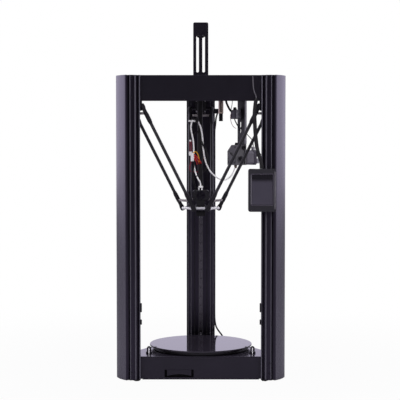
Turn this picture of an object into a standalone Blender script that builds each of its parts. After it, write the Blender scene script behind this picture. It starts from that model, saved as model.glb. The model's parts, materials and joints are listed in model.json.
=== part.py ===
"""Delta printer: three columns, a round glass bed, a hanging effector on six rods and three carriages.

Metres, +Z up. The machine stands on its feet at z = 0 and faces -Y. The centre of its box is the origin in
plan, so the axis of the round bed stands a little in front of the origin. What belongs to a column is drawn
in that column's own frame: x runs outwards from the bed axis, y along the column's face.
"""

import math

import bmesh
import bpy
import numpy
from mathutils import Matrix, Vector

# Clearances
FIT = 0.0003
RUNNING = 0.0004

# How far joined shapes reach into each other, and how far a cutting shape runs past what it cuts
OVERLAP = 0.001
THROUGH = 0.01

# Edges sharper than this, in degrees, stay sharp
SHARP_FROM = 30

# Columns: a wide inner part with grooved sides and a convex outer cover
COLUMN_ANGLES = {"rear": 90, "left": 210, "right": 330}
FRAME_TOP = 0.773
COLUMN_FOOT = 0.004
COLUMN_INNER = 0.198
COLUMN_SIDE = (
    (0.198, 0.039), (0.2018, 0.039), (0.2018, 0.033), (0.2088, 0.033), (0.2088, 0.037),
    (0.213, 0.036), (0.213, 0.034), (0.224, 0.031), (0.224, 0.025), (0.232, 0.024),
)
COLUMN_SHOULDER = 0.232
COLUMN_SHOULDER_HALF = 0.0287
COLUMN_OUTER = 0.237
COLUMN_ARC_STEPS = 8
FOOT_INSET = 0.001
FOOT_LENGTH = 0.013
FOOT_INNER_HALF = 0.022
FOOT_OUTER_HALF = 0.038

# Base and top cover: a triangle with cut corners between the columns
PANEL_RADIUS = 0.126
WALL = 0.002
BASE_BOTTOM = 0.004
DECK_BOTTOM = 0.0583
DECK_TOP = 0.0613
POCKET_RADIUS = 0.1885
POCKET_HALF_WIDTH = 0.0215
POCKET_FLOOR = 0.008
COVER_PLATE = 0.004
COVER_WALL = 0.0025
FRONT_SKIRT_BOTTOM = 0.708
SIDE_SKIRT_BOTTOM = 0.723
SIDE_SKIRT_ANGLES = (30, 150)
RECESS_X = (-0.092, -0.018)
RECESS_Z = (0.0075, 0.0275)
RECESS_DEPTH = 0.008

# Rails, belts and pulleys
RAIL_HALF_WIDTH = 0.006
RAIL_HEIGHT = 0.008
RAIL_WAIST_HALF_WIDTH = 0.005
RAIL_WAIST = (0.002, 0.003, 0.0055, 0.0065)
RAIL_BOTTOM = 0.064
RAIL_TOP = 0.727
BELT_RADIUS = 0.017
BELT_THICKNESS = 0.0014
BELT_WIDTH = 0.006
BELT_ARC_STEPS = 8
PULLEY_WIDTH = 0.008
PULLEY_FLANGE = 0.0008
PULLEY_FLANGE_RADIUS = 0.0185
PULLEY_CENTRE = 0.1936
PULLEY_SIDES = 14
MOTOR_Z = 0.031
IDLER_Z = 0.748
IDLER_PIN = 0.0025
IDLER_PIN_SHOWS = 0.001
MOTOR_SIDE = 0.042
MOTOR_LENGTH = 0.039
MOTOR_CHAMFER = 0.005
MOTOR_SHAFT = 0.0025
MOTOR_BORE = 0.003
WALL_BORE = 0.0035
MOTOR_SHAFT_LENGTH = 0.010

# Parallel rods: ball joints at the carriages and at the effector
ROD_LENGTH = 0.302
CARRIAGE_JOINT = 0.187
EFFECTOR_JOINT = 0.0385
EFFECTOR_JOINT_Z = 0.432
ROD_SPACING = 0.0596
ROD_RADIUS = 0.003
CUP_RADIUS = 0.00475
CUP_LENGTH = 0.047
CUP_TIP = 0.0065
CUP_EDGE = 0.001
CUP_TAPER = 0.002
ROD_SIDES = 8
BALL_RADIUS = 0.0045
BALL_INSET = 0.004
STUD_RADIUS = 0.002
STUD_ROOT = 0.009
BAR_RADIUS = 0.0025

# Springs between the two rods of a pair
SPRING_RADIUS = 0.0028
SPRING_WIRE = 0.0009
SPRING_HALF_LENGTH = 0.0247
SPRING_CURLS = 10
SPRING_POINTS_PER_CURL = 8
LOWER_SPRING_FROM_JOINT = 0.024
UPPER_SPRING_FROM_JOINT = 0.020

# Carriages
BLOCK_HALF_WIDTH = 0.0135
BLOCK_INNER = 0.185
BLOCK_OUTER = 0.195
BLOCK_Z = (0.678, 0.723)
PLATE_INNER = 0.1795
PLATE_HALF_WIDTH = 0.017
PLATE_BOTTOM = 0.684
PLATE_TOP = 0.7225
CLAMP_Z = (0.704, 0.722)
CLAMP_X = (0.1805, 0.1966)
CLAMP_THICKNESS = 0.0025

# Effector, hot end and fan
EFFECTOR_PLATE_Z = (0.428, 0.436)
EFFECTOR_PLATE_RADIUS = 0.030
EFFECTOR_PLATE_CORNER = 0.042
LUG_OUTER = 0.037
LUG_HALF_WIDTH = 0.013
LUG_Z = (0.4285, 0.4355)
LUG_ROOT = 0.004
HOTEND_HOLE = 0.0118
NOZZLE_TIP = 0.4033
NOZZLE_CONE = 0.003
NOZZLE_BORE = 0.0006
NOZZLE_RADIUS = 0.0035
HEAT_BREAK_RADIUS = 0.003
FLANGE_RADIUS = 0.014
HEATER_Z = (0.411, 0.424)
HEATER_HALF_WIDTH = 0.012
HEATER_Y = (-0.010, 0.008)
HEAT_SINK_RADIUS = 0.011
HEAT_SINK_Z = (0.440, 0.476)
SINK_CORE = 0.007
FINS_Z = ((0.445, 0.449), (0.458, 0.462))
SINK_ROOM = 0.0006
FITTING_RADIUS = 0.0065
FITTING_NECK = 0.005
FITTING_SHOULDER = 0.488
FITTING_TOP = 0.490
COWL_HALF_WIDTH = 0.0213
COWL_Y = (-0.030, 0.020)
COWL_Z = (0.4537, 0.479)
DUCT_HALF_WIDTH = 0.010
DUCT_Y = (-0.028, -0.0146)
DUCT_BOTTOM = 0.4373
FAN_RADIUS = 0.0106
FAN_HUB = 0.0048
FAN_Y = (-0.027, -0.020)
FAN_BLADES = 7
FAN_ROOM = 0.0007
FAN_ROOM_END = -0.005
BLADE_TIP = 0.0101
BLADE_HALF_THICKNESS = 0.0004
BLADE_HALF_DEPTH = 0.0028
BLADE_SLANT = 40

# Bed
GLASS_RADIUS = 0.134
GLASS_Z = (0.0711, 0.0751)
BED_RADIUS = 0.128
BED_Z = (0.0636, 0.0708)
BED_POST_RADIUS = 0.008
BED_POST_FROM_AXIS = 0.100
DISC_SIDES = 48
CLIP_FROM_AXIS = 0.154
CLIP_POST_RADIUS = 0.0035
CLIP_REACH = 0.026
CLIP_HALF_WIDTH = 0.004
CLIP_CORNER = 0.0035
CLIP_Z = (0.0756, 0.0776)

# Screen
SCREEN_X = (0.1187, 0.1881)
SCREEN_Y = (-0.165, -0.143)
SCREEN_Z = (0.431, 0.538)
SCREEN_CORNER = 0.004
WINDOW_X = (0.1277, 0.1788)
WINDOW_Z = (0.449, 0.5236)
WINDOW_DEPTH = 0.0015
WINDOW_INSET = 0.0001
BRACKET_BACK = ((0.160, -0.1384), (0.184, -0.1397))
BRACKET_Z = (0.465, 0.505)

# Spool arm and spindle
ARM_HALF_WIDTH = 0.020
ARM_Y = (0.050, 0.054)
ARM_TOP = 0.921
ARM_CORNER = 0.004
ARM_FOOT_Y = 0.018
ARM_FOOT_THICKNESS = 0.003
ARM_SLOT_CENTRES = (-0.0085, 0.0072)
ARM_SLOT_HALF_WIDTH = 0.0043
ARM_SLOT_Z = (0.789, 0.8885)
SPINDLE_Z = 0.902
SPINDLE_RADIUS = 0.012
SPINDLE_FLANGE = 0.016
SPINDLE_LENGTH = 0.085
SPINDLE_COLLAR = 0.003
SPINDLE_TAPER = 0.001

# Extruder, in the frame of the right-hand panel: x outwards through the panel, y along it
EXTRUDER_PANEL_ANGLE = 30
HANGER_X = (0.1202, 0.1232)
HANGER_Y = (-0.0275, 0.0165)
HANGER_Z = (0.546, 0.764)
HANGER_SLOT_Y = -0.002
HANGER_SLOT_HALF_WIDTH = 0.0035
HANGER_SLOTS_Z = ((0.6428, 0.6593), (0.6287, 0.6393))
EXTRUDER_X = (0.093, 0.1199)
EXTRUDER_Y = (-0.024, 0.020)
EXTRUDER_Z = (0.5436, 0.597)
EXTRUDER_CHAMFER = (0.020, 0.016)
EXTRUDER_MOTOR_X = (0.1235, 0.162)
EXTRUDER_MOTOR_SIDE = 0.0395
EXTRUDER_MOTOR_CHAMFER = 0.004
LEVER_X = (0.0875, 0.0926)
LEVER_PIVOT = (-0.017, 0.556)
LEVER_LENGTH = 0.031
LEVER_HALF_WIDTH = 0.006
LEVER_CORNER = 0.0055
LEVER_SLOPE = 38
KNOB_X = 0.107
KNOB_Z = 0.5607
KNOB_RADIUS = 0.0065
KNOB_LENGTH = 0.009
KNOB_FLUTES = 12
KNOB_FLUTE_DEPTH = 0.0006

# Power parts in the base
SWITCH_PANEL_ANGLE = 30
SWITCH_Y = 0.055
SWITCH_Z = 0.032
SWITCH_HALF_HEIGHT = 0.0095
SWITCH_HALF_WIDTH = 0.0065
SWITCH_ROOM = 0.0006
SWITCH_PROFILE = ((-0.004, -0.0085), (0.0005, -0.0095), (0.0016, 0.0), (0.0042, 0.0089), (-0.004, 0.0085))
INLET_Y = (0.010, 0.036)
INLET_Z = (0.020, 0.044)
INLET_STANDS_OUT = 0.003
SUPPLY_X = (-0.020, 0.075)
SUPPLY_Y = (-0.075, 0.020)
SUPPLY_Z = (0.007, 0.043)
BOARD_X = (-0.095, -0.028)
BOARD_Y = (-0.070, 0.020)
BOARD_Z = (0.012, 0.014)
BOARD_PARTS = (-0.089, -0.074, -0.059, -0.044)
BOARD_PART_LENGTH = 0.009
BOARD_PART_Y = (-0.012, -0.003)
BOARD_PART_TOP = 0.026
BOARD_FOOT_X = (-0.075, -0.045)
BOARD_FOOT_Y = (-0.055, -0.030)

# Cords: routes in the bed's frame
TUBE_DIAMETER = 0.004
TUBE_SPACING = 0.0115
TUBE_ROUTE = (
    (0.0927, 0.050, 0.5431), (0.0900, 0.049, 0.5330), (0.0810, 0.046, 0.5150),
    (0.0671, 0.042, 0.5050), (0.0520, 0.038, 0.5060), (0.0378, 0.033, 0.5145),
    (0.0280, 0.028, 0.5240), (0.0200, 0.024, 0.5359), (0.0120, 0.020, 0.5559),
    (0.0067, 0.017, 0.5863), (0.0046, 0.015, 0.6153), (0.0008, 0.012, 0.6400),
    (-0.0067, 0.005, 0.6570), (-0.0150, -0.003, 0.6640), (-0.0225, -0.009, 0.6585),
    (-0.0256, -0.012, 0.6426), (-0.0228, -0.011, 0.6250), (-0.0190, -0.008, 0.6021),
    (-0.0180, -0.005, 0.5680), (-0.0172, -0.002, 0.5400), (-0.0104, 0.000, 0.5146),
    (-0.0025, 0.000, 0.5010), (0.0, 0.0, 0.4904),
)
HARNESS_DIAMETER = 0.014
HARNESS_SPACING = 0.022
HARNESS_ROUTE = (
    (0.0, 0.0158, 0.4794), (0.0, 0.0165, 0.4920), (-0.001, 0.020, 0.520),
    (-0.002, 0.026, 0.570), (-0.002, 0.029, 0.620), (-0.002, 0.030, 0.670),
    (-0.001, 0.030, 0.720), (0.0, 0.030, 0.7686),
)
CABLE_DIAMETER = 0.006
CABLE_LEAD_SHARE = 0.5
CABLE_LEAD_END = 0.716
CABLE_SPACING = 0.0105
CABLE_ROUTE = (
    (0.1303, -0.1289, 0.7700), (0.1311, -0.1290, 0.7553), (0.1321, -0.1292, 0.7403),
    (0.1351, -0.1295, 0.7291), (0.1385, -0.1298, 0.7203), (0.1389, -0.1299, 0.7130),
    (0.1369, -0.1302, 0.6990), (0.1350, -0.1311, 0.6785), (0.1353, -0.1325, 0.6600),
    (0.1368, -0.1350, 0.6283), (0.1386, -0.1375, 0.6100), (0.1405, -0.1405, 0.5932),
    (0.1431, -0.1440, 0.5799), (0.1459, -0.1475, 0.5698), (0.1490, -0.1506, 0.5620),
    (0.1512, -0.1528, 0.5515), (0.1520, -0.1532, 0.5386),
)

# Worked out from the sizes above
BED_AXIS_Y = -(COLUMN_OUTER + SCREEN_Y[0]) / 2
PANEL_CORNER = COLUMN_INNER - RUNNING
ROD_TILT = math.asin((CARRIAGE_JOINT - EFFECTOR_JOINT) / ROD_LENGTH)
CARRIAGE_JOINT_Z = EFFECTOR_JOINT_Z + ROD_LENGTH * math.cos(ROD_TILT)
ROD_HALF_SPACING = ROD_SPACING / 2
BALL_HALF_SPACING = ROD_HALF_SPACING - BALL_INSET


def finish(name, colour, roughness, metallic):
    """A Principled material of one colour."""
    material = bpy.data.materials.new(name)
    material.use_nodes = True
    shader = material.node_tree.nodes["Principled BSDF"]
    shader.inputs["Base Color"].default_value = (*colour, 1.0)
    shader.inputs["Roughness"].default_value = roughness
    shader.inputs["Metallic"].default_value = metallic
    material.diffuse_color = (*colour, 1.0)
    return material


def shape(points, faces):
    """A mesh of the given points and faces, with its faces turned outwards."""
    bm = bmesh.new()
    corners = [bm.verts.new(point) for point in points]
    for face in faces:
        bm.faces.new([corners[index] for index in face])
    bmesh.ops.recalc_face_normals(bm, faces=bm.faces)
    mesh = bpy.data.meshes.new("shape")
    bm.to_mesh(mesh)
    bm.free()
    return mesh


def prism(outline, low, high):
    """A straight solid on a closed outline of (x, y) points, from z = low to z = high."""
    count = len(outline)
    points = [(x, y, low) for x, y in outline] + [(x, y, high) for x, y in outline]
    sides = [(i, (i + 1) % count, count + (i + 1) % count, count + i) for i in range(count)]
    return shape(points, sides + [range(count), range(count, 2 * count)])


def box(x, y, z):
    """A block between the given (low, high) pairs."""
    return prism([(x[0], y[0]), (x[1], y[0]), (x[1], y[1]), (x[0], y[1])], z[0], z[1])


def turned(profile, sides, ring=False):
    """A profile of (radius, z) points turned round the Z axis; a ring's profile closes on itself."""
    count = len(profile)
    angles = [2 * math.pi * step / sides for step in range(sides)]
    points = [(r * math.cos(a), r * math.sin(a), z) for r, z in profile for a in angles]
    faces = []
    for row in range(count if ring else count - 1):
        low = row * sides
        high = (row + 1) % count * sides
        faces += [(low + i, low + (i + 1) % sides, high + (i + 1) % sides, high + i) for i in range(sides)]
    if not ring:
        faces += [range(sides), range((count - 1) * sides, count * sides)]
    return shape(points, faces)


def ball(radius, centre):
    """A faceted ball."""
    bm = bmesh.new()
    bmesh.ops.create_uvsphere(bm, u_segments=8, v_segments=6, radius=radius)
    bmesh.ops.translate(bm, verts=bm.verts, vec=centre)
    mesh = bpy.data.meshes.new("ball")
    bm.to_mesh(mesh)
    bm.free()
    return mesh


def moved(mesh, matrix):
    """The mesh after a move or a turn."""
    mesh.transform(matrix)
    return mesh


def along_x(mesh, place=(0, 0, 0)):
    """A shape drawn along +Z laid along +X and put in place."""
    return moved(mesh, Matrix.Translation(place) @ Matrix.Rotation(math.pi / 2, 4, "Y"))


def along_y(mesh, place=(0, 0, 0)):
    """A shape drawn along +Z laid along +Y and put in place."""
    return moved(mesh, Matrix.Translation(place) @ Matrix.Rotation(-math.pi / 2, 4, "X"))


def rod_between(radius, low, high, sides=12):
    """A plain round bar along Z."""
    return turned([(radius, low), (radius, high)], sides)


def turn_z(degrees):
    """A turn about the bed axis."""
    return Matrix.Rotation(math.radians(degrees), 4, "Z")


def boolean(body, others, operation):
    """Body with the other meshes joined to it (UNION) or cut out of it (DIFFERENCE)."""
    target = bpy.data.objects.new("target", body)
    bpy.context.scene.collection.objects.link(target)
    tools = []
    for other in others:
        tool = bpy.data.objects.new("tool", other)
        bpy.context.scene.collection.objects.link(tool)
        modifier = target.modifiers.new("boolean", "BOOLEAN")
        modifier.operation = operation
        modifier.object = tool
        tools.append(tool)
    graph = bpy.context.evaluated_depsgraph_get()
    result = bpy.data.meshes.new_from_object(target.evaluated_get(graph))
    for item in [target, *tools]:
        bpy.data.objects.remove(item)
    return result


def joined(body, *others):
    """One solid from shapes that overlap."""
    return boolean(body, others, "UNION")


def cut(body, *tools):
    """A solid with the tools' shapes taken out of it."""
    return boolean(body, tools, "DIFFERENCE")


def empty(name, parent=None, location=(0, 0, 0), turn=0):
    """A frame that pieces are placed in."""
    frame = bpy.data.objects.new(name, None)
    frame.parent = parent
    frame.location = location
    frame.rotation_euler = (0, 0, math.radians(turn))
    bpy.context.scene.collection.objects.link(frame)
    return frame


def node(name, mesh, material, parent, location=(0, 0, 0), rotation=None):
    """One named piece."""
    piece = bpy.data.objects.new(name, mesh)
    piece.parent = parent
    piece.location = location
    if rotation is not None:
        piece.rotation_euler = rotation.to_euler()
    mesh.materials.clear()
    mesh.materials.append(material)
    mesh.shade_smooth()
    mesh.set_sharp_from_angle(angle=math.radians(SHARP_FROM))
    bpy.context.scene.collection.objects.link(piece)
    return piece


def panel_outline(panel_radius, corner_radius, first_corner=90):
    """A triangle round the bed axis, with its three corners cut square at corner_radius."""
    half = (2 * panel_radius - corner_radius) * math.tan(math.radians(30))
    outline = []
    for corner in range(3):
        turn = turn_z(first_corner + 120 * corner)
        outline += [(turn @ Vector((corner_radius, side * half, 0))).to_2d()[:] for side in (-1, 1)]
    return outline


def rounded_box(x, y, corner, steps=3):
    """The outline of a rectangle with round corners."""
    outline = []
    centres = ((x[1], y[1], 0), (x[0], y[1], 90), (x[0], y[0], 180), (x[1], y[0], 270))
    for edge_x, edge_y, start in centres:
        middle_x = edge_x + (-corner if edge_x == x[1] else corner)
        middle_y = edge_y + (-corner if edge_y == y[1] else corner)
        for step in range(steps + 1):
            angle = math.radians(start + 90 * step / steps)
            outline.append((middle_x + corner * math.cos(angle), middle_y + corner * math.sin(angle)))
    return outline


def slot_outline(half_width, low, high, steps=6):
    """The outline of an upright slot with round ends, centred on x = 0."""
    outline = []
    for centre, start in ((high - half_width, 0), (low + half_width, 180)):
        for step in range(steps + 1):
            angle = math.radians(start + 180 * step / steps)
            outline.append((half_width * math.cos(angle), centre + half_width * math.sin(angle)))
    return outline


def smooth_route(points, spacing):
    """Points a set distance apart on a smooth curve (Catmull-Rom) through the route's points."""
    route = numpy.array(points)
    route = numpy.vstack([2 * route[0] - route[1], route, 2 * route[-1] - route[-2]])
    t = numpy.linspace(0, 1, 24, endpoint=False)[:, None]
    dense = []
    for before, start, end, after in zip(route, route[1:], route[2:], route[3:]):
        bend = 2 * before - 5 * start + 4 * end - after
        twist = -before + 3 * start - 3 * end + after
        dense.append(start + 0.5 * ((end - before) * t + bend * t**2 + twist * t**3))
    dense = numpy.vstack([*dense, route[-2:-1]])
    travel = numpy.concatenate([[0], numpy.cumsum(numpy.linalg.norm(numpy.diff(dense, axis=0), axis=1))])
    stops = numpy.linspace(0, travel[-1], round(travel[-1] / spacing) + 1)
    return numpy.column_stack([numpy.interp(stops, travel, dense[:, axis]) for axis in range(3)])


def wire(name, points, diameter, material, parent, location=(0, 0, 0), rotation=None, shares=None):
    """A round wire or tube along the points, with closed ends; shares narrow it point by point."""
    curve = bpy.data.curves.new(name, "CURVE")
    curve.dimensions = "3D"
    curve.bevel_depth = diameter / 2
    curve.bevel_resolution = 1 if diameter == SPRING_WIRE else 2
    curve.use_fill_caps = True
    spline = curve.splines.new("POLY")
    spline.points.add(len(points) - 1)
    for index, (target, point) in enumerate(zip(spline.points, points)):
        target.co = (*point, 1.0)
        target.radius = 1.0 if shares is None else shares[index]
    curve.materials.append(material)
    piece = bpy.data.objects.new(name, curve)
    piece.parent = parent
    piece.location = location
    if rotation is not None:
        piece.rotation_euler = rotation.to_euler()
    bpy.context.scene.collection.objects.link(piece)
    return piece


def column_mesh():
    """The column's section drawn up its height, with two foot pads and the idler's pin."""
    rise = COLUMN_OUTER - COLUMN_SHOULDER
    bow = (COLUMN_SHOULDER_HALF**2 + rise**2) / (2 * rise)
    spread = math.asin(COLUMN_SHOULDER_HALF / bow)
    arc = []
    for step in range(COLUMN_ARC_STEPS + 1):
        angle = spread * (1 - 2 * step / COLUMN_ARC_STEPS)
        arc.append((COLUMN_OUTER - bow + bow * math.cos(angle), bow * math.sin(angle)))
    outline = [*COLUMN_SIDE, *arc, *[(x, -y) for x, y in reversed(COLUMN_SIDE)]]
    feet = []
    for side in (-1, 1):
        across = sorted((side * FOOT_INNER_HALF, side * FOOT_OUTER_HALF))
        along = (COLUMN_INNER + FOOT_INSET, COLUMN_INNER + FOOT_INSET + FOOT_LENGTH)
        feet.append(box(along, across, (0, COLUMN_FOOT + OVERLAP)))
    pin_length = COLUMN_INNER - PULLEY_CENTRE + PULLEY_WIDTH / 2 + IDLER_PIN_SHOWS
    pin = along_x(rod_between(IDLER_PIN, -pin_length, OVERLAP), (COLUMN_INNER, 0, IDLER_Z))
    return joined(prism(outline, COLUMN_FOOT, FRAME_TOP), *feet, pin)


def rail_mesh():
    """A linear rail with a waist along each side."""
    outer = COLUMN_INNER - FIT
    inner = outer - RAIL_HEIGHT
    start, narrow, widen, end = RAIL_WAIST
    half = [
        (inner, RAIL_HALF_WIDTH),
        (inner + start, RAIL_HALF_WIDTH),
        (inner + narrow, RAIL_WAIST_HALF_WIDTH),
        (inner + widen, RAIL_WAIST_HALF_WIDTH),
        (inner + end, RAIL_HALF_WIDTH),
        (outer, RAIL_HALF_WIDTH),
    ]
    return prism(half + [(x, -y) for x, y in reversed(half)], RAIL_BOTTOM, RAIL_TOP)


def belt_mesh():
    """A flat belt round the motor pulley and the idler, drawn in (y, z)."""
    rings = []
    for radius in (BELT_RADIUS - BELT_THICKNESS / 2, BELT_RADIUS + BELT_THICKNESS / 2):
        loop = []
        for centre, start in ((IDLER_Z, 0), (MOTOR_Z, 180)):
            for step in range(BELT_ARC_STEPS + 1):
                angle = math.radians(start + 180 * step / BELT_ARC_STEPS)
                loop.append((radius * math.cos(angle), centre + radius * math.sin(angle)))
        rings.append(loop)
    inner, outer = rings
    count = len(inner)
    near = PULLEY_CENTRE - BELT_WIDTH / 2
    far = PULLEY_CENTRE + BELT_WIDTH / 2
    points = []
    for ring, x in ((inner, near), (outer, near), (outer, far), (inner, far)):
        points += [(x, y, z) for y, z in ring]
    faces = []
    for row in range(4):
        low = row * count
        high = (row + 1) % 4 * count
        faces += [(low + i, low + (i + 1) % count, high + (i + 1) % count, high + i) for i in range(count)]
    return shape(points, faces)


def pulley_profile(inner_radius):
    """A flanged pulley's profile, from its bore outwards, centred on z = 0."""
    half = PULLEY_WIDTH / 2
    groove = half - PULLEY_FLANGE
    seat = BELT_RADIUS - BELT_THICKNESS / 2 - FIT
    return [
        (inner_radius, -half),
        (PULLEY_FLANGE_RADIUS, -half),
        (PULLEY_FLANGE_RADIUS, -groove),
        (seat, -groove),
        (seat, groove),
        (PULLEY_FLANGE_RADIUS, groove),
        (PULLEY_FLANGE_RADIUS, half),
        (inner_radius, half),
    ]


def idler_mesh():
    """A pulley with a bore, on its own axis along X."""
    bore = (IDLER_PIN + RUNNING / 4) / math.cos(math.pi / PULLEY_SIDES)
    return along_x(turned(pulley_profile(bore), PULLEY_SIDES, ring=True))


def motor_pulley_mesh():
    """A pulley with the motor's shaft, on its own axis along X."""
    back = -PULLEY_WIDTH / 2 - MOTOR_SHAFT_LENGTH
    return along_x(turned([(MOTOR_SHAFT, back)] + pulley_profile(MOTOR_SHAFT), PULLEY_SIDES))


def octagon(side, chamfer):
    """A square outline with cut corners."""
    half = side / 2
    flat = half - chamfer
    return [
        (half, -flat), (half, flat), (flat, half), (-flat, half),
        (-half, flat), (-half, -flat), (-flat, -half), (flat, -half),
    ]


def motor_mesh():
    """A square stepper motor on the X axis, bored for the shaft."""
    face = POCKET_RADIUS - WALL - FIT
    body = along_x(prism(octagon(MOTOR_SIDE, MOTOR_CHAMFER), face - MOTOR_LENGTH, face))
    bore = along_x(rod_between(MOTOR_BORE, face - MOTOR_SHAFT_LENGTH, face + OVERLAP))
    return moved(cut(body, bore), Matrix.Translation((0, 0, MOTOR_Z)))


def carriage_mesh():
    """The rail block, its plate, two ball studs and the belt clamp."""
    block = box((BLOCK_INNER, BLOCK_OUTER), (-BLOCK_HALF_WIDTH, BLOCK_HALF_WIDTH), BLOCK_Z)
    rail_room = RAIL_HALF_WIDTH + RUNNING
    rail_face = COLUMN_INNER - FIT - RAIL_HEIGHT - RUNNING
    channel_z = (BLOCK_Z[0] - THROUGH, BLOCK_Z[1] + THROUGH)
    channel = box((rail_face, BLOCK_OUTER + THROUGH), (-rail_room, rail_room), channel_z)
    plate_y = (-PLATE_HALF_WIDTH, PLATE_HALF_WIDTH)
    plate = box((PLATE_INNER, BLOCK_INNER + FIT), plate_y, (PLATE_BOTTOM, PLATE_TOP))
    belt_side = BELT_RADIUS + BELT_THICKNESS / 2 + RUNNING
    clamp_y = (PLATE_HALF_WIDTH - OVERLAP, belt_side + CLAMP_THICKNESS)
    clamp = joined(
        box((CLAMP_X[0], BLOCK_INNER), clamp_y, CLAMP_Z),
        box((BLOCK_INNER - OVERLAP, CLAMP_X[1]), (belt_side, clamp_y[1]), CLAMP_Z),
    )
    extras = []
    for side in (-1, 1):
        place = Vector((CARRIAGE_JOINT, side * BALL_HALF_SPACING, CARRIAGE_JOINT_Z))
        root = (CARRIAGE_JOINT, side * STUD_ROOT, CARRIAGE_JOINT_Z)
        ends = sorted((0, side * (BALL_HALF_SPACING - STUD_ROOT)))
        extras += [along_y(rod_between(STUD_RADIUS, *ends), root), ball(BALL_RADIUS, place)]
    return joined(cut(block, channel), plate, clamp, *extras)


def rod_mesh():
    """A rod along Z from its lower joint, with a cup round each ball that opens towards -Y."""
    profile = [
        (CUP_RADIUS - CUP_EDGE, -CUP_TIP),
        (CUP_RADIUS, -CUP_TIP + CUP_EDGE),
        (CUP_RADIUS, CUP_LENGTH),
        (ROD_RADIUS, CUP_LENGTH + CUP_TAPER),
    ]
    profile += [(radius, ROD_LENGTH - z) for radius, z in reversed(profile)]
    pockets = [ball(BALL_RADIUS + RUNNING, (0, -BALL_INSET, z)) for z in (0, ROD_LENGTH)]
    return cut(turned(profile, ROD_SIDES), *pockets)


def spring_points():
    """A helix along Y with short straight ends, which meet the two rods square."""
    coil_half = SPRING_HALF_LENGTH - SPRING_WIRE
    steps = SPRING_CURLS * SPRING_POINTS_PER_CURL
    share = numpy.linspace(0, 1, steps + 1)
    angle = 2 * math.pi * SPRING_CURLS * share
    along = coil_half * (2 * share - 1)
    helix = numpy.column_stack([SPRING_RADIUS * numpy.sin(angle), along, SPRING_RADIUS * numpy.cos(angle)])
    ends = numpy.array([[0, SPRING_HALF_LENGTH, 0]])
    return numpy.vstack([helix[:1] * (1, 0, 1) - ends, helix, helix[-1:] * (1, 0, 1) + ends])


def least_gap(points, wire_diameter, neighbours):
    """The least distance between two stretches of a wire that aren't next to each other."""
    apart = numpy.linalg.norm(points[:, None] - points[None], axis=2)
    index = numpy.arange(len(points))
    close = numpy.abs(index[:, None] - index[None]) <= neighbours
    return float(apart[~close].min()) - wire_diameter


def base_tray_mesh():
    """The tray: three walls, a floor, pockets for the pulleys, the front recess and the mains parts."""
    rim = DECK_BOTTOM - FIT
    body = prism(panel_outline(PANEL_RADIUS, PANEL_CORNER), BASE_BOTTOM, rim)
    inside = panel_outline(PANEL_RADIUS - WALL, POCKET_RADIUS - WALL)
    tools = [prism(inside, BASE_BOTTOM + WALL, rim + THROUGH)]
    for angle in COLUMN_ANGLES.values():
        hole = rod_between(WALL_BORE, POCKET_RADIUS - WALL - THROUGH, POCKET_RADIUS + THROUGH)
        tools.append(moved(pocket_mesh(POCKET_FLOOR), turn_z(angle)))
        tools.append(moved(along_x(hole, (0, 0, MOTOR_Z)), turn_z(angle)))
    switch_y = (SWITCH_Y - SWITCH_HALF_WIDTH - RUNNING, SWITCH_Y + SWITCH_HALF_WIDTH + RUNNING)
    switch_z = (SWITCH_Z - SWITCH_HALF_HEIGHT - SWITCH_ROOM, SWITCH_Z + SWITCH_HALF_HEIGHT + SWITCH_ROOM)
    switch_hole = box((PANEL_RADIUS - THROUGH, PANEL_RADIUS + THROUGH), switch_y, switch_z)
    tools.append(moved(switch_hole, turn_z(SWITCH_PANEL_ANGLE)))
    tray = cut(body, *tools)
    front = -PANEL_RADIUS
    behind = (front + OVERLAP, front + RECESS_DEPTH + WALL)
    pad = (RECESS_X[0] - WALL, RECESS_X[1] + WALL)
    housing = box(pad, behind, (BASE_BOTTOM + OVERLAP, RECESS_Z[1] + WALL))
    inlet = box((PANEL_RADIUS - OVERLAP, PANEL_RADIUS + INLET_STANDS_OUT), INLET_Y, INLET_Z)
    tray = joined(tray, housing, moved(inlet, turn_z(SWITCH_PANEL_ANGLE)))
    return cut(tray, box(RECESS_X, (front - THROUGH, front + RECESS_DEPTH), RECESS_Z))


def pocket_mesh(floor):
    """The room that a column's pulley and belt take from the tray and the deck."""
    room_x = (POCKET_RADIUS, COLUMN_INNER + THROUGH)
    return box(room_x, (-POCKET_HALF_WIDTH, POCKET_HALF_WIDTH), (floor, DECK_TOP + THROUGH))


def base_deck_mesh():
    """The deck: the same outline as the tray, notched for the belts."""
    deck = prism(panel_outline(PANEL_RADIUS, PANEL_CORNER), DECK_BOTTOM, DECK_TOP)
    turns = [turn_z(angle) for angle in COLUMN_ANGLES.values()]
    return cut(deck, *[moved(pocket_mesh(DECK_BOTTOM - THROUGH), turn) for turn in turns])


def top_cover_mesh():
    """The top plate with a deep front skirt and two shorter side skirts."""
    body = prism(panel_outline(PANEL_RADIUS, PANEL_CORNER), FRONT_SKIRT_BOTTOM, FRAME_TOP)
    inside = panel_outline(PANEL_RADIUS - COVER_WALL, COLUMN_OUTER)
    tools = [prism(inside, FRONT_SKIRT_BOTTOM - THROUGH, FRAME_TOP - COVER_PLATE)]
    for angle in SIDE_SKIRT_ANGLES:
        trim_x = (PANEL_RADIUS - THROUGH, PANEL_RADIUS + THROUGH)
        trim_z = (FRONT_SKIRT_BOTTOM - THROUGH, SIDE_SKIRT_BOTTOM)
        tools.append(moved(box(trim_x, (-COLUMN_OUTER, COLUMN_OUTER), trim_z), turn_z(angle)))
    return cut(body, *tools)


def heated_bed_mesh():
    """The heated disc on three short posts."""
    disc = rod_between(BED_RADIUS, *BED_Z, sides=DISC_SIDES)
    posts = []
    for angle in COLUMN_ANGLES.values():
        post = rod_between(BED_POST_RADIUS, DECK_TOP + FIT, BED_Z[0] + OVERLAP)
        posts.append(moved(post, turn_z(angle) @ Matrix.Translation((BED_POST_FROM_AXIS, 0, 0))))
    return joined(disc, *posts)


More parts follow.
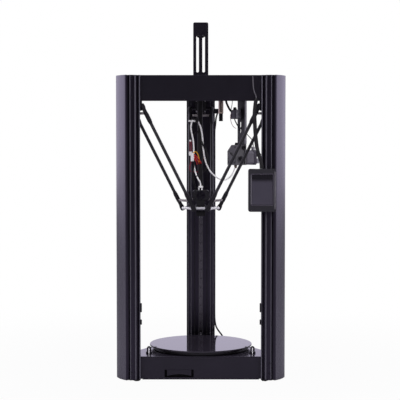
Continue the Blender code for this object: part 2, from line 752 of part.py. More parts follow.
def bed_clip_mesh():
    """A post with a tab that reaches inwards over the glass, on the post's own axis."""
    post = rod_between(CLIP_POST_RADIUS, DECK_TOP + FIT, CLIP_Z[0] + OVERLAP)
    length = (-CLIP_REACH, CLIP_HALF_WIDTH)
    tab = rounded_box(length, (-CLIP_HALF_WIDTH, CLIP_HALF_WIDTH), CLIP_CORNER)
    return joined(prism(tab, *CLIP_Z), post)


def effector_frame_mesh():
    """The plate that the hot end sits in, with a bar and two balls for each pair of rods."""
    outline = panel_outline(EFFECTOR_PLATE_RADIUS, EFFECTOR_PLATE_CORNER, first_corner=30)
    extras = []
    lug_x = (EFFECTOR_PLATE_RADIUS - LUG_ROOT, LUG_OUTER)
    place = Vector((EFFECTOR_JOINT, 0, EFFECTOR_JOINT_Z))
    for angle in COLUMN_ANGLES.values():
        lug = box(lug_x, (-LUG_HALF_WIDTH, LUG_HALF_WIDTH), LUG_Z)
        bar = along_y(rod_between(BAR_RADIUS, -BALL_HALF_SPACING, BALL_HALF_SPACING), place)
        balls = [ball(BALL_RADIUS, place + Vector((0, side * BALL_HALF_SPACING, 0))) for side in (-1, 1)]
        extras += [moved(item, turn_z(angle)) for item in (lug, bar, *balls)]
    plate = joined(prism(outline, *EFFECTOR_PLATE_Z), *extras)
    low, high = EFFECTOR_PLATE_Z
    return cut(plate, rod_between(HOTEND_HOLE, low - THROUGH, high + THROUGH, 16))


def hotend_mesh():
    """Nozzle, heater block, heat break, heat sink with its flange, and the tube fitting."""
    flange = EFFECTOR_PLATE_Z[1] + FIT
    low, high = HEAT_SINK_Z
    profile = [
        (NOZZLE_BORE, NOZZLE_TIP), (NOZZLE_RADIUS, NOZZLE_TIP + NOZZLE_CONE),
        (NOZZLE_RADIUS, HEATER_Z[0] + OVERLAP), (HEAT_BREAK_RADIUS, HEATER_Z[1]), (HEAT_BREAK_RADIUS, flange),
        (FLANGE_RADIUS, flange), (FLANGE_RADIUS, low), (SINK_CORE, low),
    ]
    for start, end in FINS_Z:
        profile += [(SINK_CORE, start), (HEAT_SINK_RADIUS, start), (HEAT_SINK_RADIUS, end), (SINK_CORE, end)]
    profile += [(SINK_CORE, high), (FITTING_RADIUS, high)]
    profile += [(FITTING_RADIUS, FITTING_SHOULDER), (FITTING_NECK, FITTING_TOP)]
    heater = box((-HEATER_HALF_WIDTH, HEATER_HALF_WIDTH), HEATER_Y, HEATER_Z)
    return joined(turned(profile, 10), heater)


def fan_cowl_mesh():
    """A cowl round the heat sink, with a round opening for the fan in front and a duct below it."""
    body = box((-COWL_HALF_WIDTH, COWL_HALF_WIDTH), COWL_Y, COWL_Z)
    duct = box((-DUCT_HALF_WIDTH, DUCT_HALF_WIDTH), DUCT_Y, (DUCT_BOTTOM, COWL_Z[0] + OVERLAP))
    sink_room = rod_between(HEAT_SINK_RADIUS + SINK_ROOM, COWL_Z[0] - THROUGH, COWL_Z[1] + THROUGH, 16)
    middle = (COWL_Z[0] + COWL_Z[1]) / 2
    fan_bore = rod_between(FAN_RADIUS + FAN_ROOM, COWL_Y[0] - THROUGH, FAN_ROOM_END, 20)
    fan_room = along_y(fan_bore, (0, 0, middle))
    return cut(joined(body, duct), sink_room, fan_room)


def fan_mesh():
    """A hub with slanted blades, on its own axis along Y."""
    depth = FAN_Y[1] - FAN_Y[0]
    hub = rod_between(FAN_HUB, -depth / 2, depth / 2)
    blades = []
    for index in range(FAN_BLADES):
        thickness = (-BLADE_HALF_THICKNESS, BLADE_HALF_THICKNESS)
        blade = box((FAN_HUB - OVERLAP, BLADE_TIP), thickness, (-BLADE_HALF_DEPTH, BLADE_HALF_DEPTH))
        slant = Matrix.Rotation(math.radians(BLADE_SLANT), 4, "X")
        blades.append(moved(blade, turn_z(360 * index / FAN_BLADES) @ slant))
    return along_y(joined(hub, *blades))


def screen_case_mesh():
    """The case, with a shallow pocket for the display window and a foot that meets the column."""
    upright = Matrix.Rotation(math.pi / 2, 4, "X")
    case = moved(prism(rounded_box(SCREEN_X, SCREEN_Z, SCREEN_CORNER), -SCREEN_Y[1], -SCREEN_Y[0]), upright)
    inner, outer = BRACKET_BACK
    root = SCREEN_Y[1] - OVERLAP
    foot = prism([(inner[0], root), (outer[0], root), outer, inner], *BRACKET_Z)
    window_x = (WINDOW_X[0] - RUNNING, WINDOW_X[1] + RUNNING)
    window_z = (WINDOW_Z[0] - RUNNING, WINDOW_Z[1] + RUNNING)
    pocket = box(window_x, (SCREEN_Y[0] - THROUGH, SCREEN_Y[0] + WINDOW_DEPTH), window_z)
    return cut(joined(case, foot), pocket)


def spool_arm_mesh():
    """An upright plate with two slots on a foot."""
    upright = Matrix.Rotation(math.pi / 2, 4, "X")
    bottom = FRAME_TOP + FIT
    outline = rounded_box((-ARM_HALF_WIDTH, ARM_HALF_WIDTH), (bottom, ARM_TOP), ARM_CORNER)
    plate = moved(prism(outline, -ARM_Y[1], -ARM_Y[0]), upright)
    slots = []
    for centre in ARM_SLOT_CENTRES:
        slot = prism(slot_outline(ARM_SLOT_HALF_WIDTH, *ARM_SLOT_Z), -ARM_Y[1] - THROUGH, -ARM_Y[0] + THROUGH)
        slots.append(moved(slot, Matrix.Translation((centre, 0, 0)) @ upright))
    foot_z = (bottom, bottom + ARM_FOOT_THICKNESS)
    foot = box((-ARM_HALF_WIDTH, ARM_HALF_WIDTH), (ARM_FOOT_Y, ARM_Y[1] - OVERLAP), foot_z)
    return cut(joined(plate, foot), *slots)


def spool_spindle_mesh():
    """A round spindle behind the arm, with a flange at each end."""
    lip = SPINDLE_LENGTH - SPINDLE_COLLAR
    profile = [
        (SPINDLE_FLANGE, FIT), (SPINDLE_FLANGE, SPINDLE_COLLAR), (SPINDLE_RADIUS, SPINDLE_COLLAR),
        (SPINDLE_RADIUS, lip - SPINDLE_TAPER), (SPINDLE_FLANGE, lip), (SPINDLE_FLANGE, SPINDLE_LENGTH),
    ]
    return along_y(turned(profile, 14), (0, ARM_Y[1], SPINDLE_Z))


def hanger_mesh():
    """The slotted plate that the extruder hangs on, drawn in the panel's frame."""
    lay = Matrix.Rotation(math.pi / 2, 4, "Z") @ Matrix.Rotation(math.pi / 2, 4, "X")
    plate = box(HANGER_X, HANGER_Y, HANGER_Z)
    slots = []
    depth = (HANGER_X[0] - THROUGH, HANGER_X[1] + THROUGH)
    for low, high in HANGER_SLOTS_Z:
        slot = prism(slot_outline(HANGER_SLOT_HALF_WIDTH, low, high), *depth)
        slots.append(moved(slot, Matrix.Translation((0, HANGER_SLOT_Y, 0)) @ lay))
    return cut(plate, *slots)


def extruder_body_mesh():
    """The drive housing, chamfered at the upper inner corner."""
    near, far = EXTRUDER_Y
    low, high = EXTRUDER_Z
    cut_low = high - EXTRUDER_CHAMFER[1]
    cut_far = far - EXTRUDER_CHAMFER[0]
    outline = [(near, low), (far, low), (far, cut_low), (cut_far, high), (near, high)]
    lay = Matrix.Rotation(math.pi / 2, 4, "Z") @ Matrix.Rotation(math.pi / 2, 4, "X")
    return moved(prism(outline, *EXTRUDER_X), lay)


def extruder_motor_mesh():
    """A small square motor outside the hanger."""
    middle_z = EXTRUDER_Z[0] + EXTRUDER_MOTOR_SIDE / 2
    motor = prism(octagon(EXTRUDER_MOTOR_SIDE, EXTRUDER_MOTOR_CHAMFER), *EXTRUDER_MOTOR_X)
    return along_x(motor, (0, 0, middle_z))


def lever_mesh():
    """A flat lever on its own pivot along X, sloping up along the panel."""
    length = (-LEVER_HALF_WIDTH, LEVER_LENGTH)
    outline = rounded_box(length, (-LEVER_HALF_WIDTH, LEVER_HALF_WIDTH), LEVER_CORNER)
    lay = Matrix.Rotation(math.pi / 2, 4, "Z") @ Matrix.Rotation(math.pi / 2, 4, "X")
    slope = Matrix.Rotation(math.radians(LEVER_SLOPE), 4, "X")
    return moved(prism(outline, 0, LEVER_X[1] - LEVER_X[0]), slope @ lay)


def knob_mesh():
    """A fluted knob on its own axis along Y."""
    outline = []
    for step in range(2 * KNOB_FLUTES):
        radius = KNOB_RADIUS if step % 2 else KNOB_RADIUS - KNOB_FLUTE_DEPTH
        angle = math.pi * step / KNOB_FLUTES
        outline.append((radius * math.cos(angle), radius * math.sin(angle)))
    return along_y(prism(outline, -KNOB_LENGTH, -FIT))


def switch_mesh():
    """A rocker pressed at its lower half, on its own pivot along Y."""
    upright = Matrix.Rotation(math.pi / 2, 4, "X")
    return moved(prism(SWITCH_PROFILE, -SWITCH_HALF_WIDTH, SWITCH_HALF_WIDTH), upright)


def control_board_mesh():
    """The circuit board with its tall parts and a foot that stands on the tray."""
    board = box(BOARD_X, BOARD_Y, BOARD_Z)
    part_z = (BOARD_Z[1] - OVERLAP, BOARD_PART_TOP)
    parts = [box((start, start + BOARD_PART_LENGTH), BOARD_PART_Y, part_z) for start in BOARD_PARTS]
    foot = box(BOARD_FOOT_X, BOARD_FOOT_Y, (BASE_BOTTOM + WALL + FIT, BOARD_Z[0] + OVERLAP))
    return joined(board, foot, *parts)


def build_column(name, angle, root, finishes):
    """A column with its rail, motor, belt and pulleys."""
    frame = empty("column_frame_" + name, root, turn=angle)
    node("column_" + name, column_mesh(), finishes["anodised"], frame)
    node("rail_" + name, rail_mesh(), finishes["steel"], frame)
    node("motor_" + name, motor_mesh(), finishes["dark"], frame)
    node("motor_pulley_" + name, motor_pulley_mesh(), finishes["silver"], frame, (PULLEY_CENTRE, 0, MOTOR_Z))
    node("idler_pulley_" + name, idler_mesh(), finishes["silver"], frame, (PULLEY_CENTRE, 0, IDLER_Z))
    node("belt_" + name, belt_mesh(), finishes["rubber"], frame)
    return frame


def build_linkage(name, frame, finishes):
    """A column's carriage, its pair of rods and their two springs."""
    node("carriage_" + name, carriage_mesh(), finishes["dark"], frame)
    tilt = Matrix.Rotation(ROD_TILT, 4, "Y")
    for side, word in ((1, "a"), (-1, "b")):
        turn = tilt if side == 1 else tilt @ Matrix.Rotation(math.pi, 4, "Z")
        foot = (EFFECTOR_JOINT, side * ROD_HALF_SPACING, EFFECTOR_JOINT_Z)
        node(f"rod_{name}_{word}", rod_mesh(), finishes["carbon"], frame, foot, turn)
    points = spring_points()
    stations = (("lower", LOWER_SPRING_FROM_JOINT), ("upper", ROD_LENGTH - UPPER_SPRING_FROM_JOINT))
    for word, up_rod in stations:
        rise = up_rod * math.cos(ROD_TILT)
        place = (EFFECTOR_JOINT + up_rod * math.sin(ROD_TILT), 0, EFFECTOR_JOINT_Z + rise)
        wire(f"spring_{name}_{word}", points, SPRING_WIRE, finishes["spring"], frame, place, tilt)


def build_effector(root, finishes):
    """The moving head that the rods carry."""
    node("effector_frame", effector_frame_mesh(), finishes["dark"], root)
    node("hotend", hotend_mesh(), finishes["silver"], root)
    node("fan_cowl", fan_cowl_mesh(), finishes["black"], root)
    middle = (0, (FAN_Y[0] + FAN_Y[1]) / 2, (COWL_Z[0] + COWL_Z[1]) / 2)
    node("hotend_fan", fan_mesh(), finishes["black"], root, middle)


def build_base_and_top(root, finishes):
    """The base with its bed and power parts, and the top cover."""
    node("base_tray", base_tray_mesh(), finishes["black"], root)
    node("base_deck", base_deck_mesh(), finishes["gloss"], root)
    node("top_cover", top_cover_mesh(), finishes["black"], root)
    node("heated_bed", heated_bed_mesh(), finishes["dark"], root)
    node("glass_plate", rod_between(GLASS_RADIUS, *GLASS_Z, sides=DISC_SIDES), finishes["glass"], root)
    for name, angle in COLUMN_ANGLES.items():
        place = turn_z(angle) @ Vector((CLIP_FROM_AXIS, 0, 0))
        turn = turn_z(angle)
        node("bed_clip_" + name, bed_clip_mesh(), finishes["steel"], root, place, turn)
    node("power_supply", box(SUPPLY_X, SUPPLY_Y, SUPPLY_Z), finishes["silver"], root)
    node("control_board", control_board_mesh(), finishes["board"], root)
    panel = empty("switch_panel", root, turn=SWITCH_PANEL_ANGLE)
    node("power_switch", switch_mesh(), finishes["black"], panel, (PANEL_RADIUS, SWITCH_Y, SWITCH_Z))


def build_screen_and_arm(root, finishes):
    """The screen on the right column and the spool arm on the top cover."""
    node("screen_case", screen_case_mesh(), finishes["black"], root)
    window_y = (SCREEN_Y[0] + WINDOW_INSET, SCREEN_Y[0] + WINDOW_DEPTH - FIT)
    node("screen_glass", box(WINDOW_X, window_y, WINDOW_Z), finishes["glass"], root)
    node("spool_arm", spool_arm_mesh(), finishes["black"], root)
    node("spool_spindle", spool_spindle_mesh(), finishes["black"], root)


def build_extruder(root, finishes):
    """The extruder on its hanger under the right-hand skirt."""
    panel = empty("extruder_panel", root, turn=EXTRUDER_PANEL_ANGLE)
    node("extruder_bracket", hanger_mesh(), finishes["black"], panel)
    node("extruder_body", extruder_body_mesh(), finishes["dark"], panel)
    node("extruder_motor", extruder_motor_mesh(), finishes["black"], panel)
    node("extruder_lever", lever_mesh(), finishes["black"], panel, (LEVER_X[0], *LEVER_PIVOT))
    node("extruder_knob", knob_mesh(), finishes["black"], panel, (KNOB_X, EXTRUDER_Y[0], KNOB_Z))


def build_cords(root, finishes):
    """The feed tube, the wire harness and the screen's cable."""
    wire("bowden_tube", smooth_route(TUBE_ROUTE, TUBE_SPACING), TUBE_DIAMETER, finishes["white"], root)
    harness = smooth_route(HARNESS_ROUTE, HARNESS_SPACING)
    wire("effector_harness", harness, HARNESS_DIAMETER, finishes["rubber"], root)
    cable = smooth_route(CABLE_ROUTE, CABLE_SPACING)
    shares = [CABLE_LEAD_SHARE if point[2] > CABLE_LEAD_END else 1.0 for point in cable]
    wire("screen_cable", cable, CABLE_DIAMETER, finishes["rubber"], root, shares=shares)


def main():
    for item in list(bpy.data.objects):
        bpy.data.objects.remove(item)
    finishes = {
        "anodised": finish("anodised column", (0.045, 0.042, 0.055), 0.38, 0.9),
        "black": finish("black panel", (0.012, 0.011, 0.014), 0.45, 0.0),
        "gloss": finish("gloss deck", (0.012, 0.011, 0.014), 0.15, 0.0),
        "dark": finish("dark grey plastic", (0.025, 0.024, 0.028), 0.5, 0.0),
        "steel": finish("steel", (0.25, 0.25, 0.26), 0.3, 1.0),
        "silver": finish("silver metal", (0.55, 0.55, 0.57), 0.32, 1.0),
        "spring": finish("spring steel", (0.35, 0.35, 0.36), 0.35, 1.0),
        "carbon": finish("carbon rod", (0.02, 0.02, 0.024), 0.35, 0.0),
        "rubber": finish("black rubber", (0.012, 0.012, 0.013), 0.7, 0.0),
        "glass": finish("dark glass", (0.015, 0.014, 0.018), 0.06, 0.0),
        "white": finish("white tube", (0.82, 0.82, 0.80), 0.35, 0.0),
        "board": finish("circuit board", (0.01, 0.09, 0.04), 0.5, 0.0),
    }
    root = empty("printer", location=(0, BED_AXIS_Y, 0))
    build_base_and_top(root, finishes)
    for name, angle in COLUMN_ANGLES.items():
        frame = build_column(name, angle, root, finishes)
        build_linkage(name, frame, finishes)
    build_effector(root, finishes)
    build_screen_and_arm(root, finishes)
    build_extruder(root, finishes)
    build_cords(root, finishes)
    gap = least_gap(spring_points(), SPRING_WIRE, SPRING_POINTS_PER_CURL // 2)
    print(f"spring: least gap to itself {gap * 1000:.2f} mm")


main()
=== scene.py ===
import json
import math

import bmesh
import bpy
import numpy as np
from mathutils import Matrix, Vector

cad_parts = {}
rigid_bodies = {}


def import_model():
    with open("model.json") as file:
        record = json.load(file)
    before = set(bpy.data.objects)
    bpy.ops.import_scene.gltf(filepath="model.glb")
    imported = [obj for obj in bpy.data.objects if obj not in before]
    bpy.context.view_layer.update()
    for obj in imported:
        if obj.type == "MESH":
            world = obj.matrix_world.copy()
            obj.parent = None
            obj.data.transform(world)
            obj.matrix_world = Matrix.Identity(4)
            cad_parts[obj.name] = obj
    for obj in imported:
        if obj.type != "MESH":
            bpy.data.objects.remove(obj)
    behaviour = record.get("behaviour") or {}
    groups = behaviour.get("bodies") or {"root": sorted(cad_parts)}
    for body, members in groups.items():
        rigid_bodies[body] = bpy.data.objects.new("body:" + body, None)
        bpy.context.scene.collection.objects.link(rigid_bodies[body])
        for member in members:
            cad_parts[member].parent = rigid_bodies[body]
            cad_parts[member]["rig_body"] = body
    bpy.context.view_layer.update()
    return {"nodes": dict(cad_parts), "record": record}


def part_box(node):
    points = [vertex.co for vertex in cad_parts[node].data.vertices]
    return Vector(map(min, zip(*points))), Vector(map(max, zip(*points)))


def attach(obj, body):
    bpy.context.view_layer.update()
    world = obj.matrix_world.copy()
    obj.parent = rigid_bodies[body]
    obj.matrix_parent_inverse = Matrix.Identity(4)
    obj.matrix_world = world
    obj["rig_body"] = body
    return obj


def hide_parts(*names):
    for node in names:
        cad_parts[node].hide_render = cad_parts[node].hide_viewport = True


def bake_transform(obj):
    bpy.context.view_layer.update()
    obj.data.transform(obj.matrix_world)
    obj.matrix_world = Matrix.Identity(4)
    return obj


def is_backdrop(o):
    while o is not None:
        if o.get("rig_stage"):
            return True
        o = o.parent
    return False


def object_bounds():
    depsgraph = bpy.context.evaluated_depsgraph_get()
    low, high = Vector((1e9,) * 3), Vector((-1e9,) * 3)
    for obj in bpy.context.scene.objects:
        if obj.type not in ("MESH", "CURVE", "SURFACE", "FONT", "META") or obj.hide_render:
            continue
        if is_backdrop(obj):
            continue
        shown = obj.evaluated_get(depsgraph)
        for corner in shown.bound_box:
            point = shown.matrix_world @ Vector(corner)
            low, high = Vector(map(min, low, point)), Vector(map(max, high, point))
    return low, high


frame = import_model()
nodes = frame["nodes"]
# the bed axis stands a little in front of the origin
bedY = sum(corner.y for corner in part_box("glass_plate")) / 2
columnAngles = {"rear": 90, "left": 210, "right": 330}
slotNames = {item["slot"] for item in frame["record"]["materials"]}
softAngle = math.radians(35)  # edges sharper than this are bevelled and shaded sharp
gap = 0.0003  # room between pieces that meet
overcut = 0.01  # how far a cutter reaches past the piece
print("frame:", len(nodes), "nodes, bed axis at y =", round(bedY, 4))


# shader maths: a wrapped socket, so that expressions add Math nodes
class Value:
    def __init__(self, tree, socket):
        self.tree = tree
        self.socket = socket

    def calc(self, operation, *terms):
        node = self.tree.nodes.new("ShaderNodeMath")
        node.operation = operation
        for place, term in zip(node.inputs, terms):
            feed(self.tree, place, term)
        return Value(self.tree, node.outputs[0])

    def __add__(self, other):
        return self.calc("ADD", self, other)

    def __sub__(self, other):
        return self.calc("SUBTRACT", self, other)

    def __rsub__(self, other):
        return self.calc("SUBTRACT", other, self)

    def __mul__(self, other):
        return self.calc("MULTIPLY", self, other)

    def over(self, edge):
        return self.calc("GREATER_THAN", self, edge)

    def wave(self):
        return self.calc("SINE", self)

    __radd__ = __add__
    __rmul__ = __mul__


def feed(tree, place, term):
    if isinstance(term, Value):
        tree.links.new(term.socket, place)
    elif isinstance(term, (tuple, list)) and len(term) == 3 and place.type == "RGBA":
        place.default_value = (*term, 1.0)
    else:
        place.default_value = term


class Finish:
    def __init__(self, name, world=False):
        self.block = bpy.data.worlds.new(name) if world else bpy.data.materials.new(name)
        self.block.use_nodes = True
        self.tree = self.block.node_tree
        self.shader = self.tree.nodes.get("Principled BSDF")

    # any node: its type, its settings, then the values or links of its sockets
    def add(self, kind, settings=None, inputs=None, output=0):
        node = self.tree.nodes.new("ShaderNode" + kind)
        for key, setting in (settings or {}).items():
            setattr(node, key, setting)
        for key, term in (inputs or {}).items():
            feed(self.tree, node.inputs[key], term)
        return Value(self.tree, node.outputs[output])

    def spot(self):
        return self.add("TexCoord", output="Object")

    def part(self, axis):
        return self.add("SeparateXYZ", inputs={0: self.spot()}, output=axis)

    def stretch(self, scale):
        return self.add("Mapping", inputs={"Vector": self.spot(), "Scale": scale})

    def noise(self, scale, detail=2.0, vector=None):
        vector = vector or self.spot()
        return self.add("TexNoise", inputs={"Vector": vector, "Scale": scale, "Detail": detail})

    # a smooth step between two edges, from one level to the other
    def ease(self, term, edges, levels=(0.0, 1.0)):
        return self.add("MapRange", {"interpolation_type": "SMOOTHSTEP"}, {
            "Value": term, "From Min": edges[0], "From Max": edges[1], "To Min": levels[0],
            "To Max": levels[1]})

    def blendColour(self, share, first, second):
        return self.add("Mix", {"data_type": "RGBA"}, {0: share, 6: first, 7: second}, output=2)

    def bump(self, height, strength, distance):
        return self.add("Bump", inputs={"Strength": strength, "Distance": distance, "Height": height})

    def set(self, **terms):
        for key, term in terms.items():
            feed(self.tree, self.shader.inputs[key.replace("_", " ")], term)
        return self.block


def shaded(colour, share):
    return [channel * share for channel in colour]


# painted or moulded surface: fine bumps, and broad patches a little lighter and duller
def grained(name, colour, rough, grain=900.0, bump=0.03, metal=0.0):
    make = Finish(name)
    broad = make.noise(18.0, 3.0)
    fine = make.noise(grain)
    make.set(Base_Color=make.blendColour(broad, shaded(colour, 0.8), shaded(colour, 1.25)), Metallic=metal)
    make.set(Roughness=rough + (broad - 0.5) * 0.12 + (fine - 0.5) * 0.06)
    return make.set(Normal=make.bump(fine, bump, 0.0004))


# metal worked in one direction: noise drawn out along an axis gives fine lines
def drawn(name, colour, rough, lines, spread=0.12):
    make = Finish(name)
    fine = make.noise(1.0, 2.0, make.stretch(lines))
    broad = make.noise(9.0)
    make.set(Base_Color=make.blendColour(fine * 0.6 + broad * 0.4, shaded(colour, 0.86), colour),
             Metallic=1.0)
    make.set(Roughness=rough + (fine - 0.5) * spread)
    return make.set(Normal=make.bump(fine, 0.05, 0.0002))


# woven carbon tube: two sets of slanting bands, seen as squares of lighter and darker cloth
def woven(name, colour, rough, pitch):
    make = Finish(name)
    across = (make.part("X") + make.part("Y")) * pitch
    up = make.part("Z") * pitch
    weave = (across + up).wave() * (across - up).wave()
    cloth = weave.over(0.0)
    make.set(Base_Color=make.blendColour(cloth, shaded(colour, 0.6), colour), Roughness=rough + cloth * 0.1)
    return make.set(Normal=make.bump(weave, 0.05, 0.0002), Coat_Weight=0.25, Coat_Roughness=0.12)


# a polished surface with faint smears; a pane may darken upwards between two heights, a painted dark
# reflection across its top
def glossy(name, colour, rough, ior=1.5, paintedReflectionFrom=None):
    make = Finish(name)
    smear = make.noise(30.0, 4.0)
    tone = make.blendColour(smear, colour, shaded(colour, 1.3))
    # painted reflection: the colour darkens above the given heights
    if paintedReflectionFrom:
        tone = make.blendColour(make.ease(make.part("Z"), paintedReflectionFrom), tone, shaded(colour, 0.2))
    make.set(Base_Color=tone, Roughness=rough + (smear - 0.5) * 0.05, IOR=ior)
    return make.set(Normal=make.bump(make.noise(3.0, 1.0), 0.02, 0.001))


finishes = {
    "anodised_column": drawn("anodisedColumn", (0.235, 0.226, 0.252), 0.26, (900, 900, 6), spread=0.10),
    "black_anodised": drawn("blackAnodised", (0.070, 0.062, 0.084), 0.30, (900, 900, 6), spread=0.10),
    "dark_steel": drawn("blackenedSteel", (0.16, 0.155, 0.17), 0.3, (900, 900, 900)),
    "black_screw": drawn("blackOxideScrew", (0.09, 0.085, 0.10), 0.35, (900, 900, 900)),
    "rail_steel": drawn("groundSteel", (0.17, 0.16, 0.175), 0.26, (1500, 1500, 12)),
    "silver_metal": drawn("machinedAluminium", (0.82, 0.80, 0.83), 0.34, (60, 60, 2500)),
    "carbon_rod": woven("wovenCarbon", (0.020, 0.019, 0.022), 0.34, pitch=2600.0),
    "gloss_deck": glossy("glossDeck", (0.012, 0.010, 0.016), 0.17),
    "dark_glass": glossy("darkGlass", (0.012, 0.010, 0.015), 0.07, ior=1.52),
    # the display's dark top band is a painted reflection
    "display": glossy("displayPane", (0.030, 0.027, 0.038), 0.10, paintedReflectionFrom=(0.502, 0.514)),
    # lighter strips on the columns' ribs and edges: painted highlights
    "column_line": grained("columnPaintedHighlight", (0.052, 0.048, 0.064), 0.42, grain=1600.0, bump=0.05),
    "black_panel": grained("blackPowderCoat", (0.0030, 0.0020, 0.0052), 0.42, grain=1400.0, bump=0.10),
    # a near-black sheet for the recess: painted shade
    "deep_black": grained("paintedShadeBlack", (0.0008, 0.0006, 0.0012), 0.85, grain=1400.0, bump=0.05),
    "base_panel": grained("basePowderCoat", (0.0084, 0.0064, 0.0128), 0.42, grain=1400.0, bump=0.10),
    "dark_plastic": grained("darkGreyMoulding", (0.090, 0.085, 0.098), 0.5, grain=2200.0, bump=0.14),
    "black_plastic": grained("blackMoulding", (0.0072, 0.0062, 0.0086), 0.45, grain=2400.0, bump=0.12),
    "black_rubber": grained("blackRubber", (0.0085, 0.0075, 0.0090), 0.68, grain=1800.0, bump=0.15),
    "circuit_board": grained("circuitBoard", (0.010, 0.085, 0.038), 0.4, grain=500.0, bump=0.2),
    "dark_case": grained("screenCase", (0.012, 0.011, 0.015), 0.40, grain=2000.0, bump=0.10),
    "laminations": grained("motorStack", (0.150, 0.138, 0.168), 0.4, grain=1800.0, bump=0.05, metal=0.3),
    "pale_nylon": grained("paleNylon", (0.78, 0.76, 0.79), 0.4, grain=1500.0, bump=0.05),
    "violet_grey": grained("sensorCase", (0.050, 0.042, 0.062), 0.45, grain=1800.0, bump=0.10),
    # grey for the motor's sockets; on the sensor's lid and the hanger's flange it is painted light
    "light_grey_case": grained("greyCaseAndPaintedLight", (0.19, 0.18, 0.215), 0.45, grain=1800.0, bump=0.10),
    # lighter grey for strips beside the screen's window: painted highlights
    "edge_grey": grained("screenPaintedHighlight", (0.100, 0.094, 0.110), 0.40, grain=1800.0, bump=0.06),
    "tan_metal": grained("polishedGuide", (0.66, 0.52, 0.44), 0.16, grain=700.0, bump=0.02, metal=0.4),
    # pale paint on the silver ball bars and clip pins: a painted sheen standing in for their bright
    # reflection
    "satin_bar": grained("paintedSheenBar", (0.88, 0.86, 0.91), 0.35),
    "spring_steel": grained("platedSpringWire", (0.44, 0.40, 0.42), 0.35, metal=0.35),
    "grey_bar": grained("greyBar", (0.40, 0.39, 0.43), 0.38, metal=0.2),
    "bronze": grained("bronzeFitting", (0.20, 0.155, 0.125), 0.34, metal=0.3),
    "white_tube": grained("whiteTube", (0.90, 0.88, 0.90), 0.34),
    "grey_lead": grained("greyLead", (0.060, 0.055, 0.066), 0.45),
    "pink_wire": grained("pinkWire", (0.55, 0.36, 0.42), 0.42),
    "red_wire": grained("redWire", (0.66, 0.016, 0.014), 0.42),
    "yellow_wire": grained("yellowWire", (0.90, 0.46, 0.02), 0.42),
    "maroon_wire": grained("maroonWire", (0.16, 0.012, 0.030), 0.45),
}
for name, node in nodes.items():
    entry = next(item for item in frame["record"]["subparts"] if item["node"] == name)
    node.data.materials.clear()
    node.data.materials.append(finishes[entry["material_slot"]])
print("finishes:", len(finishes))


# shapes are (points, faces) pairs; quads join a grid's rows, and caps close its first and last row
def gridFaces(rows, cols, wrapRows=False, wrapCols=False, caps=False):
    r, c = np.meshgrid(np.arange(rows - (not wrapRows)), np.arange(cols - (not wrapCols)), indexing="ij")
    nextR = (r + 1) % rows
    nextC = (c + 1) % cols
    quads = np.stack([r * cols + c, r * cols + nextC, nextR * cols + nextC, nextR * cols + c], axis=-1)
    faces = quads.reshape(-1, 4).tolist()
    if caps:
        faces += [list(range(cols)), list(range((rows - 1) * cols, rows * cols))]
    return faces


def fullTurn(sides):
    return np.linspace(0, 2 * np.pi, sides, endpoint=False)


# outline (x, y) drawn up z from low to high
def prism(outline, low, high):
    flat = np.asarray(outline, float)
    count = len(flat)
    rings = np.stack([np.column_stack([flat, np.full(count, z)]) for z in (low, high)])
    return rings.reshape(-1, 3), gridFaces(2, count, wrapCols=True, caps=True)


# rings up z with a radius for every angle, x = r cos a, y = r sin a; a closed stack ends at its first ring
def ringStack(radii, z, closed=False):
    sides = radii.shape[1]
    a = fullTurn(sides)
    height = np.repeat(np.asarray(z)[:, None], sides, axis=1)
    grid = np.stack([radii * np.cos(a), radii * np.sin(a), height], axis=-1)
    return grid.reshape(-1, 3), gridFaces(len(radii), sides, wrapRows=closed, wrapCols=True, caps=not closed)


# profile (radius, z) turned round z; a ring's profile closes on itself
def turned(profile, sides=32, ring=False):
    r, z = np.asarray(profile, float).T
    return ringStack(np.repeat(r[:, None], sides, axis=1), z, ring)


def cylinder(radius, low, high, sides=24):
    return turned([(radius, low), (radius, high)], sides)


# circle carried along a path: centre + radius (cos a * side + sin a * up), side square to a fixed direction
def tube(path, radius, sides=12, reference=(0.0, 1.0, 0.0), closed=False):
    path = np.asarray(path, float)
    if closed:
        heading = np.roll(path, -1, axis=0) - np.roll(path, 1, axis=0)
    else:
        heading = np.gradient(path, axis=0)
    heading /= np.linalg.norm(heading, axis=1, keepdims=True)
    side = np.cross(heading, np.asarray(reference, float))
    side /= np.linalg.norm(side, axis=1, keepdims=True)
    up = np.cross(side, heading)
    a = fullTurn(sides)
    radius = np.broadcast_to(np.asarray(radius, float), len(path))[:, None, None]
    ring = np.cos(a)[None, :, None] * side[:, None] + np.sin(a)[None, :, None] * up[:, None]
    grid = path[:, None] + radius * ring
    return grid.reshape(-1, 3), gridFaces(len(path), sides, wrapRows=closed, wrapCols=True, caps=not closed)


def moved(shape, matrix):
    points, faces = shape
    m = np.array(matrix, float)
    return points @ m[:3, :3].T + m[:3, 3], faces


def gather(*shapes):
    points = np.vstack([shape[0] for shape in shapes])
    starts = np.cumsum([0] + [len(shape[0]) for shape in shapes[:-1]])
    faces = []
    for shape, start in zip(shapes, starts):
        faces += [[index + int(start) for index in face] for face in shape[1]]
    return points, faces


def block(low, high):
    (x0, y0, z0), (x1, y1, z1) = low, high
    return prism([(x0, y0), (x1, y0), (x1, y1), (x0, y1)], z0, z1)


def roundedOutline(x, y, corner, steps=5):
    centres = ((x[1] - corner, y[1] - corner), (x[0] + corner, y[1] - corner),
               (x[0] + corner, y[0] + corner), (x[1] - corner, y[0] + corner))
    turn = np.linspace(0, np.pi / 2, steps + 1)
    arcs = []
    for quarter, (cx, cy) in enumerate(centres):
        a = turn + quarter * np.pi / 2
        arcs.append(np.column_stack([cx + corner * np.cos(a), cy + corner * np.sin(a)]))
    return np.vstack(arcs)


def roundedBlock(x, y, z, corner, steps=5):
    return prism(roundedOutline(x, y, corner, steps), *z)


